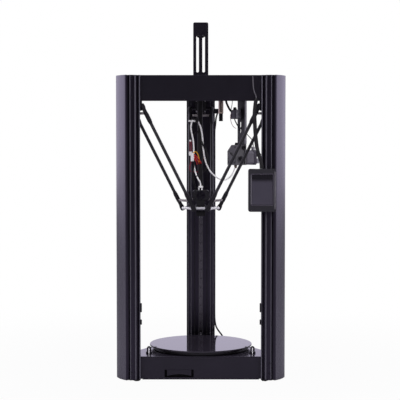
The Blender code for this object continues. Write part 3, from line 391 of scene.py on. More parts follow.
def slotOutline(halfWidth, low, high, steps=12):
    a = np.linspace(0, np.pi, steps + 1)
    upper = np.column_stack([halfWidth * np.cos(a), high - halfWidth + halfWidth * np.sin(a)])
    lower = np.column_stack([-halfWidth * np.cos(a), low + halfWidth - halfWidth * np.sin(a)])
    return np.vstack([upper, lower])


# half of an outline, and its mirror image below the x axis
def mirrored(half):
    half = np.asarray(half)
    return np.vstack([half, half[::-1] * (1, -1)])


# a range on both sides of the middle
def bothSides(near, far):
    return (-far, -near), (near, far)


# as far to one side as to the other
def evenly(half):
    return -half, half


# a smooth curve (Catmull-Rom) through the route's points, sampled at even steps
def smoothRoute(points, spacing):
    route = np.asarray(points, float)
    route = np.vstack([2 * route[0] - route[1], route, 2 * route[-1] - route[-2]])
    t = np.linspace(0, 1, 24, endpoint=False)[:, None]
    p0, p1, p2, p3 = (route[i:len(route) - 3 + i, None] for i in range(4))
    bend = 2 * p0 - 5 * p1 + 4 * p2 - p3
    twist = -p0 + 3 * p1 - 3 * p2 + p3
    dense = (p1 + 0.5 * ((p2 - p0) * t + bend * t**2 + twist * t**3)).reshape(-1, 3)
    dense = np.vstack([dense, route[-2:-1]])
    travel = np.concatenate([[0], np.cumsum(np.linalg.norm(np.diff(dense, axis=0), axis=1))])
    stops = np.linspace(0, travel[-1], round(travel[-1] / spacing) + 1)
    return np.column_stack([np.interp(stops, travel, dense[:, axis]) for axis in range(3)])


# places
def shift(x=0.0, y=0.0, z=0.0):
    return Matrix.Translation((x, y, z))


def spun(degrees, axis):
    return Matrix.Rotation(math.radians(degrees), 4, axis)


stays = Matrix.Identity(4)
bedAxis = shift(y=bedY)
upright = spun(90, "X")  # an outline in (x, y) stands up as (x, z), and its height runs along -y
sideways = spun(90, "Z") @ upright  # as (y, z), with its height along x
bedUpright = bedAxis @ upright


def columnPlace(angle):
    return bedAxis @ spun(angle, "Z")


def alongX(x, y, z):
    return shift(x, y, z) @ spun(90, "Y")


def alongY(x, y, z):
    return shift(x, y, z) @ spun(-90, "X")


# a mesh with its faces turned outwards
def outwardMesh(name, shape):
    points, faces = shape
    mesh = bpy.data.meshes.new(name)
    mesh.from_pydata(points.tolist(), [], faces)
    bm = bmesh.new()
    bm.from_mesh(mesh)
    bmesh.ops.recalc_face_normals(bm, faces=bm.faces)
    bm.to_mesh(mesh)
    bm.free()
    return mesh


# a piece from a mesh: its material, bevelled edges and body, and the CAD node that it stands for
def dressPiece(name, mesh, finish, body, bevel=0.0, segments=2, slot=None, node=None):
    piece = bpy.data.objects.new(name, mesh)
    bpy.context.scene.collection.objects.link(piece)
    mesh.materials.clear()
    mesh.materials.append(finishes[finish])
    mesh.shade_smooth()
    mesh.set_sharp_from_angle(angle=softAngle)
    if bevel:
        edge = piece.modifiers.new("softEdges", "BEVEL")
        edge.width = bevel
        edge.segments = segments
        edge.limit_method = "ANGLE"
        edge.angle_limit = softAngle
        edge.harden_normals = True
    slot or finish in slotNames
    if body:
        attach(piece, body)
    if node:
        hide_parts(node)
    return piece


def makePiece(name, shape, finish, body, bevel=0.0, segments=2, slot=None, node=None, at=stays):
    return dressPiece(name, outwardMesh(name, moved(shape, at)), finish, body, bevel, segments, slot, node)


# a copy of a CAD node with its doubles merged and flat triangles joined, ready for soft edges
def softenNode(node, finish, bevel):
    bm = bmesh.new()
    bm.from_mesh(nodes[node].data)
    bmesh.ops.remove_doubles(bm, verts=bm.verts, dist=0.00001)
    bmesh.ops.dissolve_limit(bm, angle_limit=math.radians(1.0), verts=bm.verts, edges=bm.edges)
    mesh = bpy.data.meshes.new(node + "_soft")
    bm.to_mesh(mesh)
    bm.free()
    dressPiece(node + "_skin", mesh, finish, nodes[node]["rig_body"], bevel, 3, node=node)


# the mesh of a shape with the cutters' shapes taken out of it
def carve(shape, *cutters, at=stays):
    solids = []
    for solid in (shape, gather(*cutters)):
        solids.append(bpy.data.objects.new("carving", outwardMesh("carving", moved(solid, at))))
        bpy.context.scene.collection.objects.link(solids[-1])
    target, tool = solids
    cutting = target.modifiers.new("cut", "BOOLEAN")
    cutting.operation = "DIFFERENCE"
    cutting.object = tool
    graph = bpy.context.evaluated_depsgraph_get()
    result = bpy.data.meshes.new_from_object(target.evaluated_get(graph))
    for solid in solids:
        bpy.data.objects.remove(solid)
    return result


# camera and cords come first
cameraSetup = {"distance": 3.25, "height": 0.610, "pitch": 2.77, "focalPixels": 1240.0, "imagePixels": 400,
               "sensor": 36.0, "shiftX": -0.0019, "clipEnd": 50.0}


def setCamera(setup):
    data = bpy.data.cameras.new("camera")
    data.sensor_width = setup["sensor"]
    data.lens = setup["focalPixels"] * setup["sensor"] / setup["imagePixels"]
    data.shift_x = setup["shiftX"]
    data.clip_end = setup["clipEnd"]
    camera = bpy.data.objects.new("camera", data)
    camera.location = (0, bedY - setup["distance"], setup["height"])
    camera.rotation_euler = (math.radians(90 - setup["pitch"]), 0, 0)
    bpy.context.scene.collection.objects.link(camera)
    bpy.context.scene.camera = camera


setCamera(cameraSetup)

feedTube = {
    "diameter": 0.004, "sides": 14, "spacing": 0.004,
    "route": [
        (0.0927, 0.050, 0.5431), (0.0900, 0.049, 0.5330), (0.0810, 0.046, 0.5150), (0.0671, 0.042, 0.5050),
        (0.0520, 0.038, 0.5060), (0.0378, 0.033, 0.5145), (0.0280, 0.028, 0.5240), (0.0200, 0.024, 0.5359),
        (0.0120, 0.020, 0.5559), (0.0067, 0.017, 0.5863), (0.0046, 0.015, 0.6153), (0.0008, 0.012, 0.6400),
        (-0.0067, 0.005, 0.6570), (-0.0150, -0.003, 0.6640), (-0.0225, -0.009, 0.6585),
        (-0.0256, -0.012, 0.6426), (-0.0228, -0.011, 0.6250), (-0.0190, -0.008, 0.6021),
        (-0.0180, -0.005, 0.5680), (-0.0172, -0.002, 0.5400), (-0.0104, 0.000, 0.5146),
        (-0.0025, 0.000, 0.5010), (0.0, 0.0, 0.4904)],
}
harness = {
    "diameter": 0.014, "sides": 20, "spacing": 0.004,
    "route": [
        (0.0, 0.0158, 0.4794), (0.0, 0.0165, 0.4920), (-0.001, 0.020, 0.520), (-0.002, 0.026, 0.570),
        (-0.002, 0.029, 0.620), (-0.002, 0.030, 0.670), (-0.001, 0.030, 0.720), (0.0, 0.030, 0.7686)],
}
screenCable = {
    "diameter": 0.003, "sides": 14, "spacing": 0.004, "sleeveTop": 0.716, "sleeve": 0.0098,
    "route": [
        (0.1303, -0.1289, 0.7700), (0.1311, -0.1290, 0.7553), (0.1321, -0.1292, 0.7403),
        (0.1351, -0.1295, 0.7291), (0.1385, -0.1298, 0.7203), (0.1389, -0.1299, 0.7130),
        (0.1369, -0.1302, 0.6990), (0.1350, -0.1311, 0.6785), (0.1353, -0.1325, 0.6600),
        (0.1368, -0.1350, 0.6283), (0.1386, -0.1375, 0.6100), (0.1405, -0.1405, 0.5932),
        (0.1431, -0.1440, 0.5799), (0.1459, -0.1475, 0.5698), (0.1490, -0.1506, 0.5620),
        (0.1512, -0.1528, 0.5515), (0.1520, -0.1532, 0.5386)],
}

harnessStretch = ((0, bedY, 0.750), (0, bedY, 0.505))  # wires here run between the cover and the effector
tubeStretch = ((0.062, bedY, 0.53), (0.004, bedY, 0.53))


def routeInFrame(cord):
    return smoothRoute(np.asarray(cord["route"]) + (0, bedY, 0), cord["spacing"])


# a thicker sleeve over the lower part of a cord, its upper end drawn in
def addSleeve(name, cord, path, reference):
    covered = path[path[:, 2] < cord["sleeveTop"]]
    radius = np.full(len(covered), cord["sleeve"] / 2)
    radius[0] = cord["diameter"] / 2 + gap
    return makePiece(name, tube(covered, radius, cord["sides"], reference), "black_rubber", "frame")


def addCord(name, cord, finish, node, reference, body=None, bend=None, cover=None):
    path = routeInFrame(cord)
    shape = tube(path, cord["diameter"] / 2, cord["sides"], reference)
    piece = makePiece(name, shape, finish, body, slot="black_rubber" if cover else None)
    if bend:
        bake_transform(piece)
    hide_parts(node)
    sleeves = [addSleeve(cover, cord, path, reference)] if cover else []


addCord("feed_tube", feedTube, "white_tube", "bowden_tube", (0.1, 1.0, 0.05),
        bend=tubeStretch)
addCord("harness_sleeve", harness, "black_rubber", "effector_harness", (1.0, 0.0, 0.0),
        bend=harnessStretch)
addCord("screen_lead", screenCable, "grey_lead", "screen_cable", (1.0, 0.1, 0.0),
        body="frame", cover="screen_sleeve")

# springs: a helix along the pair's line, with short straight ends that meet the rods
spring = {"radius": 0.0028, "wire": 0.0010, "halfLength": 0.0247, "curls": 26, "perCurl": 18, "lower": 0.024,
          "upper": 0.282}
linkage = {"rodLength": 0.302, "effectorJoint": 0.0385, "carriageJoint": 0.187, "jointZ": 0.432,
           "halfSpacing": 0.0298}
rodTilt = math.asin((linkage["carriageJoint"] - linkage["effectorJoint"]) / linkage["rodLength"])
tilted = Matrix.Rotation(rodTilt, 4, "Y")


def springPath():
    coilHalf = spring["halfLength"] - 2 * spring["wire"]
    share = np.linspace(0, 1, spring["curls"] * spring["perCurl"] + 1)
    angle = 2 * np.pi * spring["curls"] * share
    helix = np.column_stack([spring["radius"] * np.sin(angle), coilHalf * (2 * share - 1),
                             spring["radius"] * np.cos(angle)])
    run = np.array([[0, spring["halfLength"], spring["radius"]]])
    return np.vstack([run * (1, -1, 1), helix, run])


# a place on the middle line of a pair of rods, with z along the rods
def onRod(distance):
    x = linkage["effectorJoint"] + distance * math.sin(rodTilt)
    return shift(x, 0, linkage["jointZ"] + distance * math.cos(rodTilt)) @ tilted


for name, angle in columnAngles.items():
    for end in ("lower", "upper"):
        coil = tube(springPath(), spring["wire"] / 2, 8, (0.003, 1.0, 0.002))
        makePiece(f"spring_coil_{name}_{end}", coil, "spring_steel", "effector", node=f"spring_{name}_{end}",
                  at=columnPlace(angle) @ onRod(spring[end]))
print("cords and springs placed")


# repeated small shapes
def ballShape(radius, sides=24):
    turn = np.linspace(-np.pi / 2, np.pi / 2, sides // 2 + 1)[1:-1]
    return turned(np.column_stack([radius * np.cos(turn), radius * np.sin(turn)]), sides)


# a cap screw up z: plain rings, then rings whose radius follows a hexagon, r(a) = flat / cos(a mod 60)
def capScrew(radius, height, sides=24):
    hexagon = 0.48 * radius / np.cos(fullTurn(sides) % (np.pi / 3) - np.pi / 6)
    plain = np.full(sides, radius)
    radii = np.stack([plain, plain, 0.86 * plain, hexagon, hexagon, 0.02 * plain])
    return ringStack(radii, np.array([0.0, 0.82, 1.0, 1.0, 0.45, 0.45]) * height)


def screwsAt(places, radius, height):
    return gather(*[moved(capScrew(radius, height), place) for place in places])


# columns: a dark core with grooved sides, a satin outer cover, rubber pads and the idler's pin
column = {
    "inner": 0.198, "halfWidth": 0.039, "slot": (0.2018, 0.2088), "slotHalf": 0.033, "ribEnd": 0.213,
    "ribHalf": 0.037, "flatEnd": 0.224, "flatHalf": 0.031, "neckHalf": 0.025, "shoulder": 0.232,
    "shoulderHalf": 0.0287, "satinHalf": 0.0250, "outer": 0.237, "arcSteps": 30, "coverBack": 0.2314,
    "foot": 0.0022, "coverFoot": 0.0027, "top": 0.773, "padX": (0.199, 0.212), "padY": (0.022, 0.038),
    "padTop": 0.0032, "idlerZ": 0.748, "pinRadius": 0.0025, "pinReach": (-0.0094, 0.001),
}
# screws in the slanting flats beside the neck
columnScrew = {"x": 0.2195, "y": 0.0322, "z": (0.7655, 0.7165, 0.045, 0.020), "slant": 15.3, "radius": 0.0026,
               "height": 0.0012}
# thin strips along the column's ribs and edges, a little proud of the core and lighter than it as painted
# highlights: (radius range, half-width range)
columnHighlightLines = {
    "strips": (((0.1981, 0.2014), (0.0386, 0.0392)), ((0.2091, 0.2127), (0.0355, 0.0372)),
               ((0.2216, 0.2239), (0.0305, 0.0318)), ((0.1977, 0.1984), (0.0258, 0.0280)),
               ((0.1977, 0.1984), (0.0334, 0.0351))),
    "z": (0.0045, 0.7725), "corner": 0.0003,
}


def coreOutline():
    wide, rib, narrow = column["halfWidth"], column["ribHalf"], column["neckHalf"]
    slotStart, slotEnd = column["slot"]
    return mirrored([
        (column["inner"], wide), (slotStart, wide), (slotStart, column["slotHalf"]),
        (slotEnd, column["slotHalf"]), (slotEnd, rib), (column["ribEnd"], rib - 0.001),
        (column["ribEnd"], rib - 0.003), (column["flatEnd"], column["flatHalf"]),
        (column["flatEnd"], narrow), (column["shoulder"], narrow - 0.001)])


# a strip of the cover: an arc through the shoulders and the outermost point, closed by a line behind
def coverStrip(start, end):
    rise = column["outer"] - column["shoulder"]
    bow = (column["shoulderHalf"]**2 + rise**2) / (2 * rise)
    across = np.linspace(start, end, column["arcSteps"] + 1)
    arc = np.column_stack([column["outer"] - bow + np.sqrt(bow**2 - across**2), across])
    back = column["coverBack"]
    return prism(np.vstack([arc, [(back, end), (back, start)]]), column["coverFoot"], column["top"])


def columnHighlightStrips():
    strips = []
    for x, half in columnHighlightLines["strips"]:
        strips += [roundedBlock(x, y, columnHighlightLines["z"], columnHighlightLines["corner"], 2) for y in bothSides(*half)]
    return gather(*strips)


def columnScrewPlaces():
    places = []
    for side in (-1, 1):
        slant = spun(-90 * side, "X") @ spun(columnScrew["slant"] * side, "Y")
        places += [shift(columnScrew["x"], side * columnScrew["y"], z) @ slant for z in columnScrew["z"]]
    return places


for name, angle in columnAngles.items():
    place = columnPlace(angle)
    satin = column["satinHalf"]
    shoulder = column["shoulderHalf"]
    # the lighter strips are painted highlights along the ribs and edges
    makePiece(f"column_highlight_lines_{name}", columnHighlightStrips(), "column_line", "frame", slot="anodised_column",
              at=place)
    core = prism(coreOutline(), column["foot"], column["top"])
    makePiece(f"column_core_{name}", core, "black_anodised", "frame", bevel=0.0007, segments=3,
              slot="anodised_column", node=f"column_{name}", at=place)
    makePiece(f"column_cover_{name}", coverStrip(satin, -satin), "anodised_column", "frame", bevel=0.0004,
              at=place)
    shoulders = gather(coverStrip(-shoulder, -satin), coverStrip(shoulder, satin))
    makePiece(f"column_shoulders_{name}", shoulders, "black_anodised", "frame", bevel=0.0002,
              slot="anodised_column", at=place)
    pads = [roundedBlock(column["padX"], y, (0.0, column["padTop"]), 0.003)
            for y in bothSides(*column["padY"])]
    makePiece(f"foot_pads_{name}", gather(*pads), "black_rubber", "frame", bevel=0.0008, at=place)
    pin = cylinder(column["pinRadius"], *column["pinReach"], 20)
    makePiece(f"idler_pin_{name}", pin, "rail_steel", "frame", bevel=0.0004,
              at=place @ alongX(column["inner"], 0, column["idlerZ"]))
    screws = screwsAt(columnScrewPlaces(), columnScrew["radius"], columnScrew["height"])
    makePiece(f"column_screws_{name}", screws, "black_screw", "frame", at=place)
print("columns")

# linear rails: a waisted bar with a row of counterbored holes
rail = {"halfWidth": 0.006, "height": 0.008, "waist": 0.005, "holePitch": 0.025, "holeRadius": 0.003,
        "holeDepth": 0.0042}


def railOutline(inner):
    wide, waist = rail["halfWidth"], rail["waist"]
    return mirrored([
        (inner, wide - 0.0006), (inner + 0.0006, wide), (inner + 0.002, wide), (inner + 0.003, waist),
        (inner + 0.0055, waist), (inner + 0.0065, wide), (inner + rail["height"], wide)])


for name, angle in columnAngles.items():
    low, high = (corner.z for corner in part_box(f"rail_{name}"))
    face = column["inner"] - gap - rail["height"]
    hole = cylinder(rail["holeRadius"], -0.001, rail["holeDepth"], 20)
    heights = np.arange(low + rail["holePitch"] / 2, high, rail["holePitch"])
    holes = [moved(hole, alongX(face, 0, float(z))) for z in heights]
    bar = carve(prism(railOutline(face), low, high), *holes, at=columnPlace(angle))
    dressPiece(f"rail_bar_{name}", bar, "rail_steel", "frame", bevel=0.0002, segments=1, node=f"rail_{name}")
print("rails")

# toothed belts: a rectangle carried round both pulleys, its inner side stepping in at each tooth
belt = {"radius": 0.017, "thickness": 0.0014, "width": 0.006, "centre": 0.1936, "motorZ": 0.031,
        "idlerZ": 0.748, "pitch": 0.002, "tooth": 0.0007, "pointsPerTooth": 4}


def beltShape():
    radius, bottom, top = belt["radius"], belt["motorZ"], belt["idlerZ"]
    run = top - bottom
    turn = math.pi * radius
    count = round(2 * (run + turn) / belt["pitch"]) * belt["pointsPerTooth"]
    s = np.linspace(0, 2 * (run + turn), count, endpoint=False)
    # up, over the idler and down; the rest goes under the motor's pulley
    parts = [s < run, s < run + turn, s < 2 * run + turn]
    a = np.select(parts, [0 * s, (s - run) / radius, np.pi + 0 * s], np.pi + (s - 2 * run - turn) / radius)
    z = np.select(parts, [bottom + s, top + 0 * s, top - (s - run - turn)], bottom + 0 * s)
    step = np.where(np.arange(count) % belt["pointsPerTooth"] < 2, 0.0, belt["tooth"])
    inner = radius - belt["thickness"] / 2 + step
    outer = radius + belt["thickness"] / 2 + 0 * s
    rows = []
    for reach, side in ((inner, -0.5), (outer, -0.5), (outer, 0.5), (inner, 0.5)):
        x = belt["centre"] + side * belt["width"] + 0 * s
        rows.append(np.column_stack([x, reach * np.cos(a), z + reach * np.sin(a)]))
    grid = np.stack(rows, axis=1)
    return grid.reshape(-1, 3), gridFaces(count, 4, wrapRows=True, wrapCols=True)


# flanged pulleys: a profile turned round the shaft
pulley = {"width": 0.008, "flange": 0.0008, "flangeRadius": 0.0185, "seat": 0.016, "shaft": 0.0025,
          "shaftLength": 0.010}


def pulleyProfile(bore):
    half = pulley["width"] / 2
    groove = half - pulley["flange"]
    wide, seat = pulley["flangeRadius"], pulley["seat"]
    return [(bore, -half), (wide, -half), (wide, -groove), (seat, -groove), (seat, groove), (wide, groove),
            (wide, half), (bore, half)]


for name, angle in columnAngles.items():
    place = columnPlace(angle)
    makePiece(f"belt_loop_{name}", beltShape(), "black_rubber", "frame", node=f"belt_{name}", at=place)
    idler = turned(pulleyProfile(pulley["shaft"] + gap), 48, ring=True)
    makePiece(f"idler_wheel_{name}", idler, "silver_metal", f"idler_pulley_{name}", bevel=0.0003,
              node=f"idler_pulley_{name}", at=place @ alongX(belt["centre"], 0, belt["idlerZ"]))
    shaftEnd = -pulley["width"] / 2 - pulley["shaftLength"]
    driver = turned([(pulley["shaft"], shaftEnd)] + pulleyProfile(pulley["shaft"]), 48)
    makePiece(f"motor_wheel_{name}", driver, "silver_metal", f"motor_pulley_{name}", bevel=0.0003,
              node=f"motor_pulley_{name}", at=place @ alongX(belt["centre"], 0, belt["motorZ"]))
    softenNode(f"motor_{name}", "black_plastic", 0.0012)
print("belts and pulleys")

# rods: a woven tube with a long moulded end at each joint, whose socket holds a ball from the outer side
rod = {"radius": 0.0041, "tubeStart": 0.044, "endRadius": 0.0056, "socket": 0.0064, "endLength": 0.047,
       "tip": 0.0072, "ballInset": 0.004, "ball": 0.0045, "ballRoom": 0.0004}


def rodPlace(angle, side):
    foot = shift(linkage["effectorJoint"], side * linkage["halfSpacing"], linkage["jointZ"])
    return columnPlace(angle) @ foot @ tilted @ spun(0 if side > 0 else 180, "Z")


# one moulded end up z from the joint: a rounded tip, a waist behind the socket, then a sleeve to the tube
def rodEnd():
    wide, long, socket, tip = rod["endRadius"], rod["endLength"], rod["socket"], -rod["tip"]
    waist = wide - 0.0007
    lip = wide - 0.0006
    return turned([
        (0.0018, tip), (0.0042, tip + 0.0008), (socket - 0.0005, tip + 0.0026), (socket, -0.0020),
        (socket, 0.0030), (wide, 0.0075), (waist, 0.0085), (waist, 0.0200), (wide, 0.0215),
        (wide, long - 0.004), (lip, long - 0.0035), (lip, long), (rod["radius"] + 0.0001, long + 0.002)], 24)


upperEnd = shift(z=linkage["rodLength"]) @ spun(180, "Y")
for name, angle in columnAngles.items():
    for side, word in ((1, "a"), (-1, "b")):
        place = rodPlace(angle, side)
        stick = cylinder(rod["radius"], rod["tubeStart"], linkage["rodLength"] - rod["tubeStart"])
        makePiece(f"rod_tube_{name}_{word}", stick, "carbon_rod", "effector", node=f"rod_{name}_{word}",
                  at=place)
        socket = moved(ballShape(rod["ball"] + rod["ballRoom"]), shift(y=-rod["ballInset"]))
        for end, turn in (("lower", stays), ("upper", upperEnd)):
            mesh = carve(rodEnd(), socket, at=place @ turn)
            dressPiece(f"rod_end_{name}_{word}_{end}", mesh, "black_plastic", "effector", slot="carbon_rod")
print("rods")

# carriages: a rail block with a channel, a front plate, the belt clamp and two balls on studs
carriage = {"block": (0.185, 0.195), "blockHalf": 0.0135, "blockZ": (0.678, 0.723), "sealHeight": 0.0028,
            "channelHalf": 0.0064, "railFace": 0.1893, "plate": (0.1795, 0.1853), "plateHalf": 0.0140,
            "plateZ": (0.684, 0.7225), "clampZ": (0.7115, 0.7225), "clampY": (0.0120, 0.0206),
            "beltSide": 0.0181, "screwY": 0.0115, "screwZ": (0.6885, 0.7180)}
carriageJointZ = linkage["jointZ"] + linkage["rodLength"] * math.cos(rodTilt)
ballSpacing = linkage["halfSpacing"] - rod["ballInset"]
stud = {"radius": 0.002, "root": 0.009, "collar": 0.0030, "collarAt": (0.0150, 0.0168)}
ballBar = {"radius": 0.0025, "middle": 0.0030, "middleEnd": 0.0124, "taperEnd": 0.0130, "collar": 0.0036,
           "collarAt": (0.0134, 0.0156)}


# two short studs from the block's sides along z, each with a collar and a ball
def studShape():
    side = gather(cylinder(stud["radius"], stud["root"], ballSpacing),
                  cylinder(stud["collar"], *stud["collarAt"]),
                  moved(ballShape(rod["ball"]), shift(z=ballSpacing)))
    return gather(moved(side, spun(180, "X")), side)


# a bar along z with a thicker middle, two collars and a ball at each end
def ballBarShape():
    thin, thick = ballBar["radius"], ballBar["middle"]
    middle, taper = ballBar["middleEnd"], ballBar["taperEnd"]
    bar = turned([(thin, -ballSpacing), (thin, -taper), (thick, -middle), (thick, middle), (thin, taper),
                  (thin, ballSpacing)], 24)
    balls = [moved(ballShape(rod["ball"]), shift(z=z)) for z in evenly(ballSpacing)]
    collars = [cylinder(ballBar["collar"], *z) for z in bothSides(*ballBar["collarAt"])]
    return gather(bar, *balls, *collars)


def truckSlice(low, high):
    inner, outer = carriage["block"]
    wide, channel, face = carriage["blockHalf"], carriage["channelHalf"], carriage["railFace"]
    return prism(mirrored([(inner, wide), (outer, wide), (outer, channel), (face, channel)]), low, high)


def carriagePlate():
    near, far = carriage["plate"]
    inner = carriage["block"][0]
    low, high = carriage["clampZ"]
    start, end = carriage["clampY"]
    plate = roundedBlock(evenly(carriage["plateHalf"]), carriage["plateZ"], (near, far), 0.003)
    return gather(moved(plate, sideways), block((near + 0.001, start, low), (inner, end, high)),
                  block((inner - 0.001, carriage["beltSide"], low), (belt["centre"] + 0.003, end, high)))


for name, angle in columnAngles.items():
    place = columnPlace(angle)
    body = f"carriage_{name}"
    low, high = carriage["blockZ"]
    seal = carriage["sealHeight"]
    truck = truckSlice(low + seal + 0.0002, high - seal - 0.0002)
    makePiece(f"rail_truck_{name}", truck, "rail_steel", body, bevel=0.0005, node=f"carriage_{name}",
              at=place)
    seals = gather(truckSlice(low, low + seal), truckSlice(high - seal, high))
    makePiece(f"truck_seals_{name}", seals, "black_plastic", body, bevel=0.0004, slot="dark_plastic",
              at=place)
    makePiece(f"carriage_plate_{name}", carriagePlate(), "black_plastic", body, bevel=0.0006,
              slot="dark_plastic", at=place)
    makePiece(f"carriage_balls_{name}", studShape(), "dark_steel", body, slot="silver_metal",
              at=place @ alongY(linkage["carriageJoint"], 0, carriageJointZ))
    face = carriage["plate"][0] + 0.0002
    heads = [shift(face, y, z) @ spun(-90, "Y") for y in evenly(carriage["screwY"])
             for z in carriage["screwZ"]]
    makePiece(f"carriage_screws_{name}", screwsAt(heads, 0.0022, 0.0014), "silver_metal", body, at=place)
print("carriages")

# effector: a three-cornered plate with lugs, silver ball bars, the hot end, its cowl and its fan
effector = {"plateZ": (0.428, 0.436), "radius": 0.030, "corner": 0.042, "firstCorner": 30, "hole": 0.0118,
            "lug": (0.026, 0.037), "lugHalf": 0.013}
lowPlate, highPlate = effector["plateZ"]


# a triangle with cut corners
def panelOutline(sideRadius, cornerRadius, firstCorner):
    half = (2 * sideRadius - cornerRadius) * math.tan(math.radians(30))
    corners = []
    for corner in range(3):
        turn = Matrix.Rotation(math.radians(firstCorner + 120 * corner), 3, "Z")
        corners += [(turn @ Vector((cornerRadius, side * half, 0))).to_2d()[:] for side in (-1, 1)]
    return corners


def lugShape():
    near, far = effector["lug"]
    half = effector["lugHalf"]
    return prism([(near, -half), (far, -half + 0.001), (far, half - 0.001), (near, half)],
                 lowPlate + 0.0005, highPlate - 0.0005)


plate = prism(panelOutline(effector["radius"], effector["corner"], effector["firstCorner"]), lowPlate,
              highPlate)
plate = carve(plate, cylinder(effector["hole"], lowPlate - overcut, highPlate + overcut, 48), at=bedAxis)
dressPiece("effector_plate", plate, "black_plastic", "effector", bevel=0.0012, segments=3,
           slot="dark_plastic", node="effector_frame")
lugs = [moved(lugShape(), columnPlace(angle)) for angle in columnAngles.values()]
makePiece("effector_lugs", gather(*lugs), "black_plastic", "effector", bevel=0.0008, slot="dark_plastic")
barPlace = alongY(linkage["effectorJoint"], 0, linkage["jointZ"])
bars = [moved(ballBarShape(), columnPlace(angle) @ barPlace) for angle in columnAngles.values()]
# the ball bars' pale colour is a painted sheen
makePiece("effector_ball_bars", gather(*bars), "satin_bar", "effector", slot="silver_metal")

# hot end: a finned sink on a collar, a white press fitting for the tube, a heater in its sock and a nozzle
hotEnd = {"sinkRadius": 0.011, "sinkCore": 0.0050, "sinkZ": (0.440, 0.476), "fins": 9, "firstFin": 0.003,
          "finThick": 0.0016, "collarRadius": 0.014, "fittingTop": 0.490, "nozzleTip": 0.4033,
          "throatRadius": 0.0021, "heaterHalf": 0.012, "heaterY": (-0.010, 0.008), "heaterZ": (0.411, 0.424)}
# profiles (radius, z) from the fitting's top and from the nozzle's tip
hotEndProfiles = {
    "fitting": ((0.0052, -0.0050), (0.0059, -0.0046), (0.0059, -0.0008), (0.0052, -0.0002), (0.0024, 0.0)),
    "neck": ((0.0050, -0.0145), (0.0050, -0.0115), (0.0034, -0.0110), (0.0034, -0.0045)),
    "nozzle": ((0.0005, 0.0), (0.0010, 0.0), (0.0032, 0.0030), (0.0034, 0.0032), (0.0034, 0.0080)),
}
frontBar = {"bar": ((-0.0136, -0.0443, 0.4302), (0.0113, -0.0415, 0.4366)),
            "root": ((-0.0100, -0.0418, 0.4310), (0.0080, -0.0290, 0.4350))}


# fins are steps of radius up z
def heatSink():
    low, high = hotEnd["sinkZ"]
    core, wide, thick = hotEnd["sinkCore"], hotEnd["sinkRadius"], hotEnd["finThick"]
    pitch = (high - low - hotEnd["firstFin"]) / hotEnd["fins"]
    profile = [(core, low + 0.0005)]
    for fin in range(hotEnd["fins"]):
        z = low + hotEnd["firstFin"] + fin * pitch
        profile += [(core, z), (wide, z), (wide, z + thick), (core, z + thick)]
    return turned(profile + [(core, high)], 40)


makePiece("heat_sink", heatSink(), "silver_metal", "effector", bevel=0.0002, segments=1, node="hotend",
          at=bedAxis)
collar = cylinder(hotEnd["collarRadius"], highPlate + gap, hotEnd["sinkZ"][0] + 0.0006, 40)
makePiece("sink_collar", collar, "black_plastic", "effector", bevel=0.0006, slot="dark_plastic", at=bedAxis)
fittingPlace = bedAxis @ shift(z=hotEnd["fittingTop"])
makePiece("tube_fitting", turned(hotEndProfiles["fitting"]), "white_tube", "effector", bevel=0.0002,
          segments=1, at=fittingPlace)
makePiece("fitting_neck", turned(hotEndProfiles["neck"]), "black_plastic", "effector", bevel=0.0002,
          segments=1, at=fittingPlace)
makePiece("front_bar", block(*frontBar["bar"]), "grey_bar", "effector", bevel=0.0008, segments=3,
          slot="silver_metal", at=bedAxis)
makePiece("front_bar_root", block(*frontBar["root"]), "black_plastic", "effector", bevel=0.0006, at=bedAxis)
makePiece("nozzle", turned(hotEndProfiles["nozzle"], 24), "dark_steel", "effector", slot="silver_metal",
          at=bedAxis @ shift(z=hotEnd["nozzleTip"]))
throat = cylinder(hotEnd["throatRadius"], hotEnd["heaterZ"][1] - 0.001, highPlate + 0.001)
makePiece("heat_break", throat, "rail_steel", "effector", at=bedAxis)
heater = roundedBlock(evenly(hotEnd["heaterHalf"]), hotEnd["heaterY"], hotEnd["heaterZ"], 0.0015)
makePiece("heater_sock", heater, "black_rubber", "effector", bevel=0.0012, segments=3, at=bedAxis)

# cowl: a body with round shoulders over a narrow duct, bored for the fan and the sink
cowl = {"half": 0.0213, "y": (-0.030, 0.020), "z": (0.4537, 0.479), "shoulder": 0.0055, "edge": 0.001,
        "fanBore": 0.0113, "boreEnd": -0.005, "sinkBore": 0.0116, "ductHalf": 0.010, "ductTopHalf": 0.012,
        "ductY": (-0.028, -0.0146), "ductBottom": 0.4373, "screwX": 0.0165, "screwZ": 0.0082}
cowlFront, cowlBack = cowl["y"]
cowlLow, cowlHigh = cowl["z"]
cowlMiddle = (cowlLow + cowlHigh) / 2
ductTop = cowlLow + cowl["edge"]


def cowlOutline(steps=8):
    half, shoulder, edge = cowl["half"], cowl["shoulder"], cowl["edge"]
    a = np.linspace(0, np.pi / 2, steps + 1)
    right = np.column_stack([half - shoulder + shoulder * np.cos(a),
                             cowlHigh - shoulder + shoulder * np.sin(a)])
    left = right[::-1] * (-1, 1)
    foot = [(-half + edge, cowlLow), (half - edge, cowlLow), (half, cowlLow + edge)]
    return np.vstack([foot, right, left, [(-half, cowlLow + edge)]])


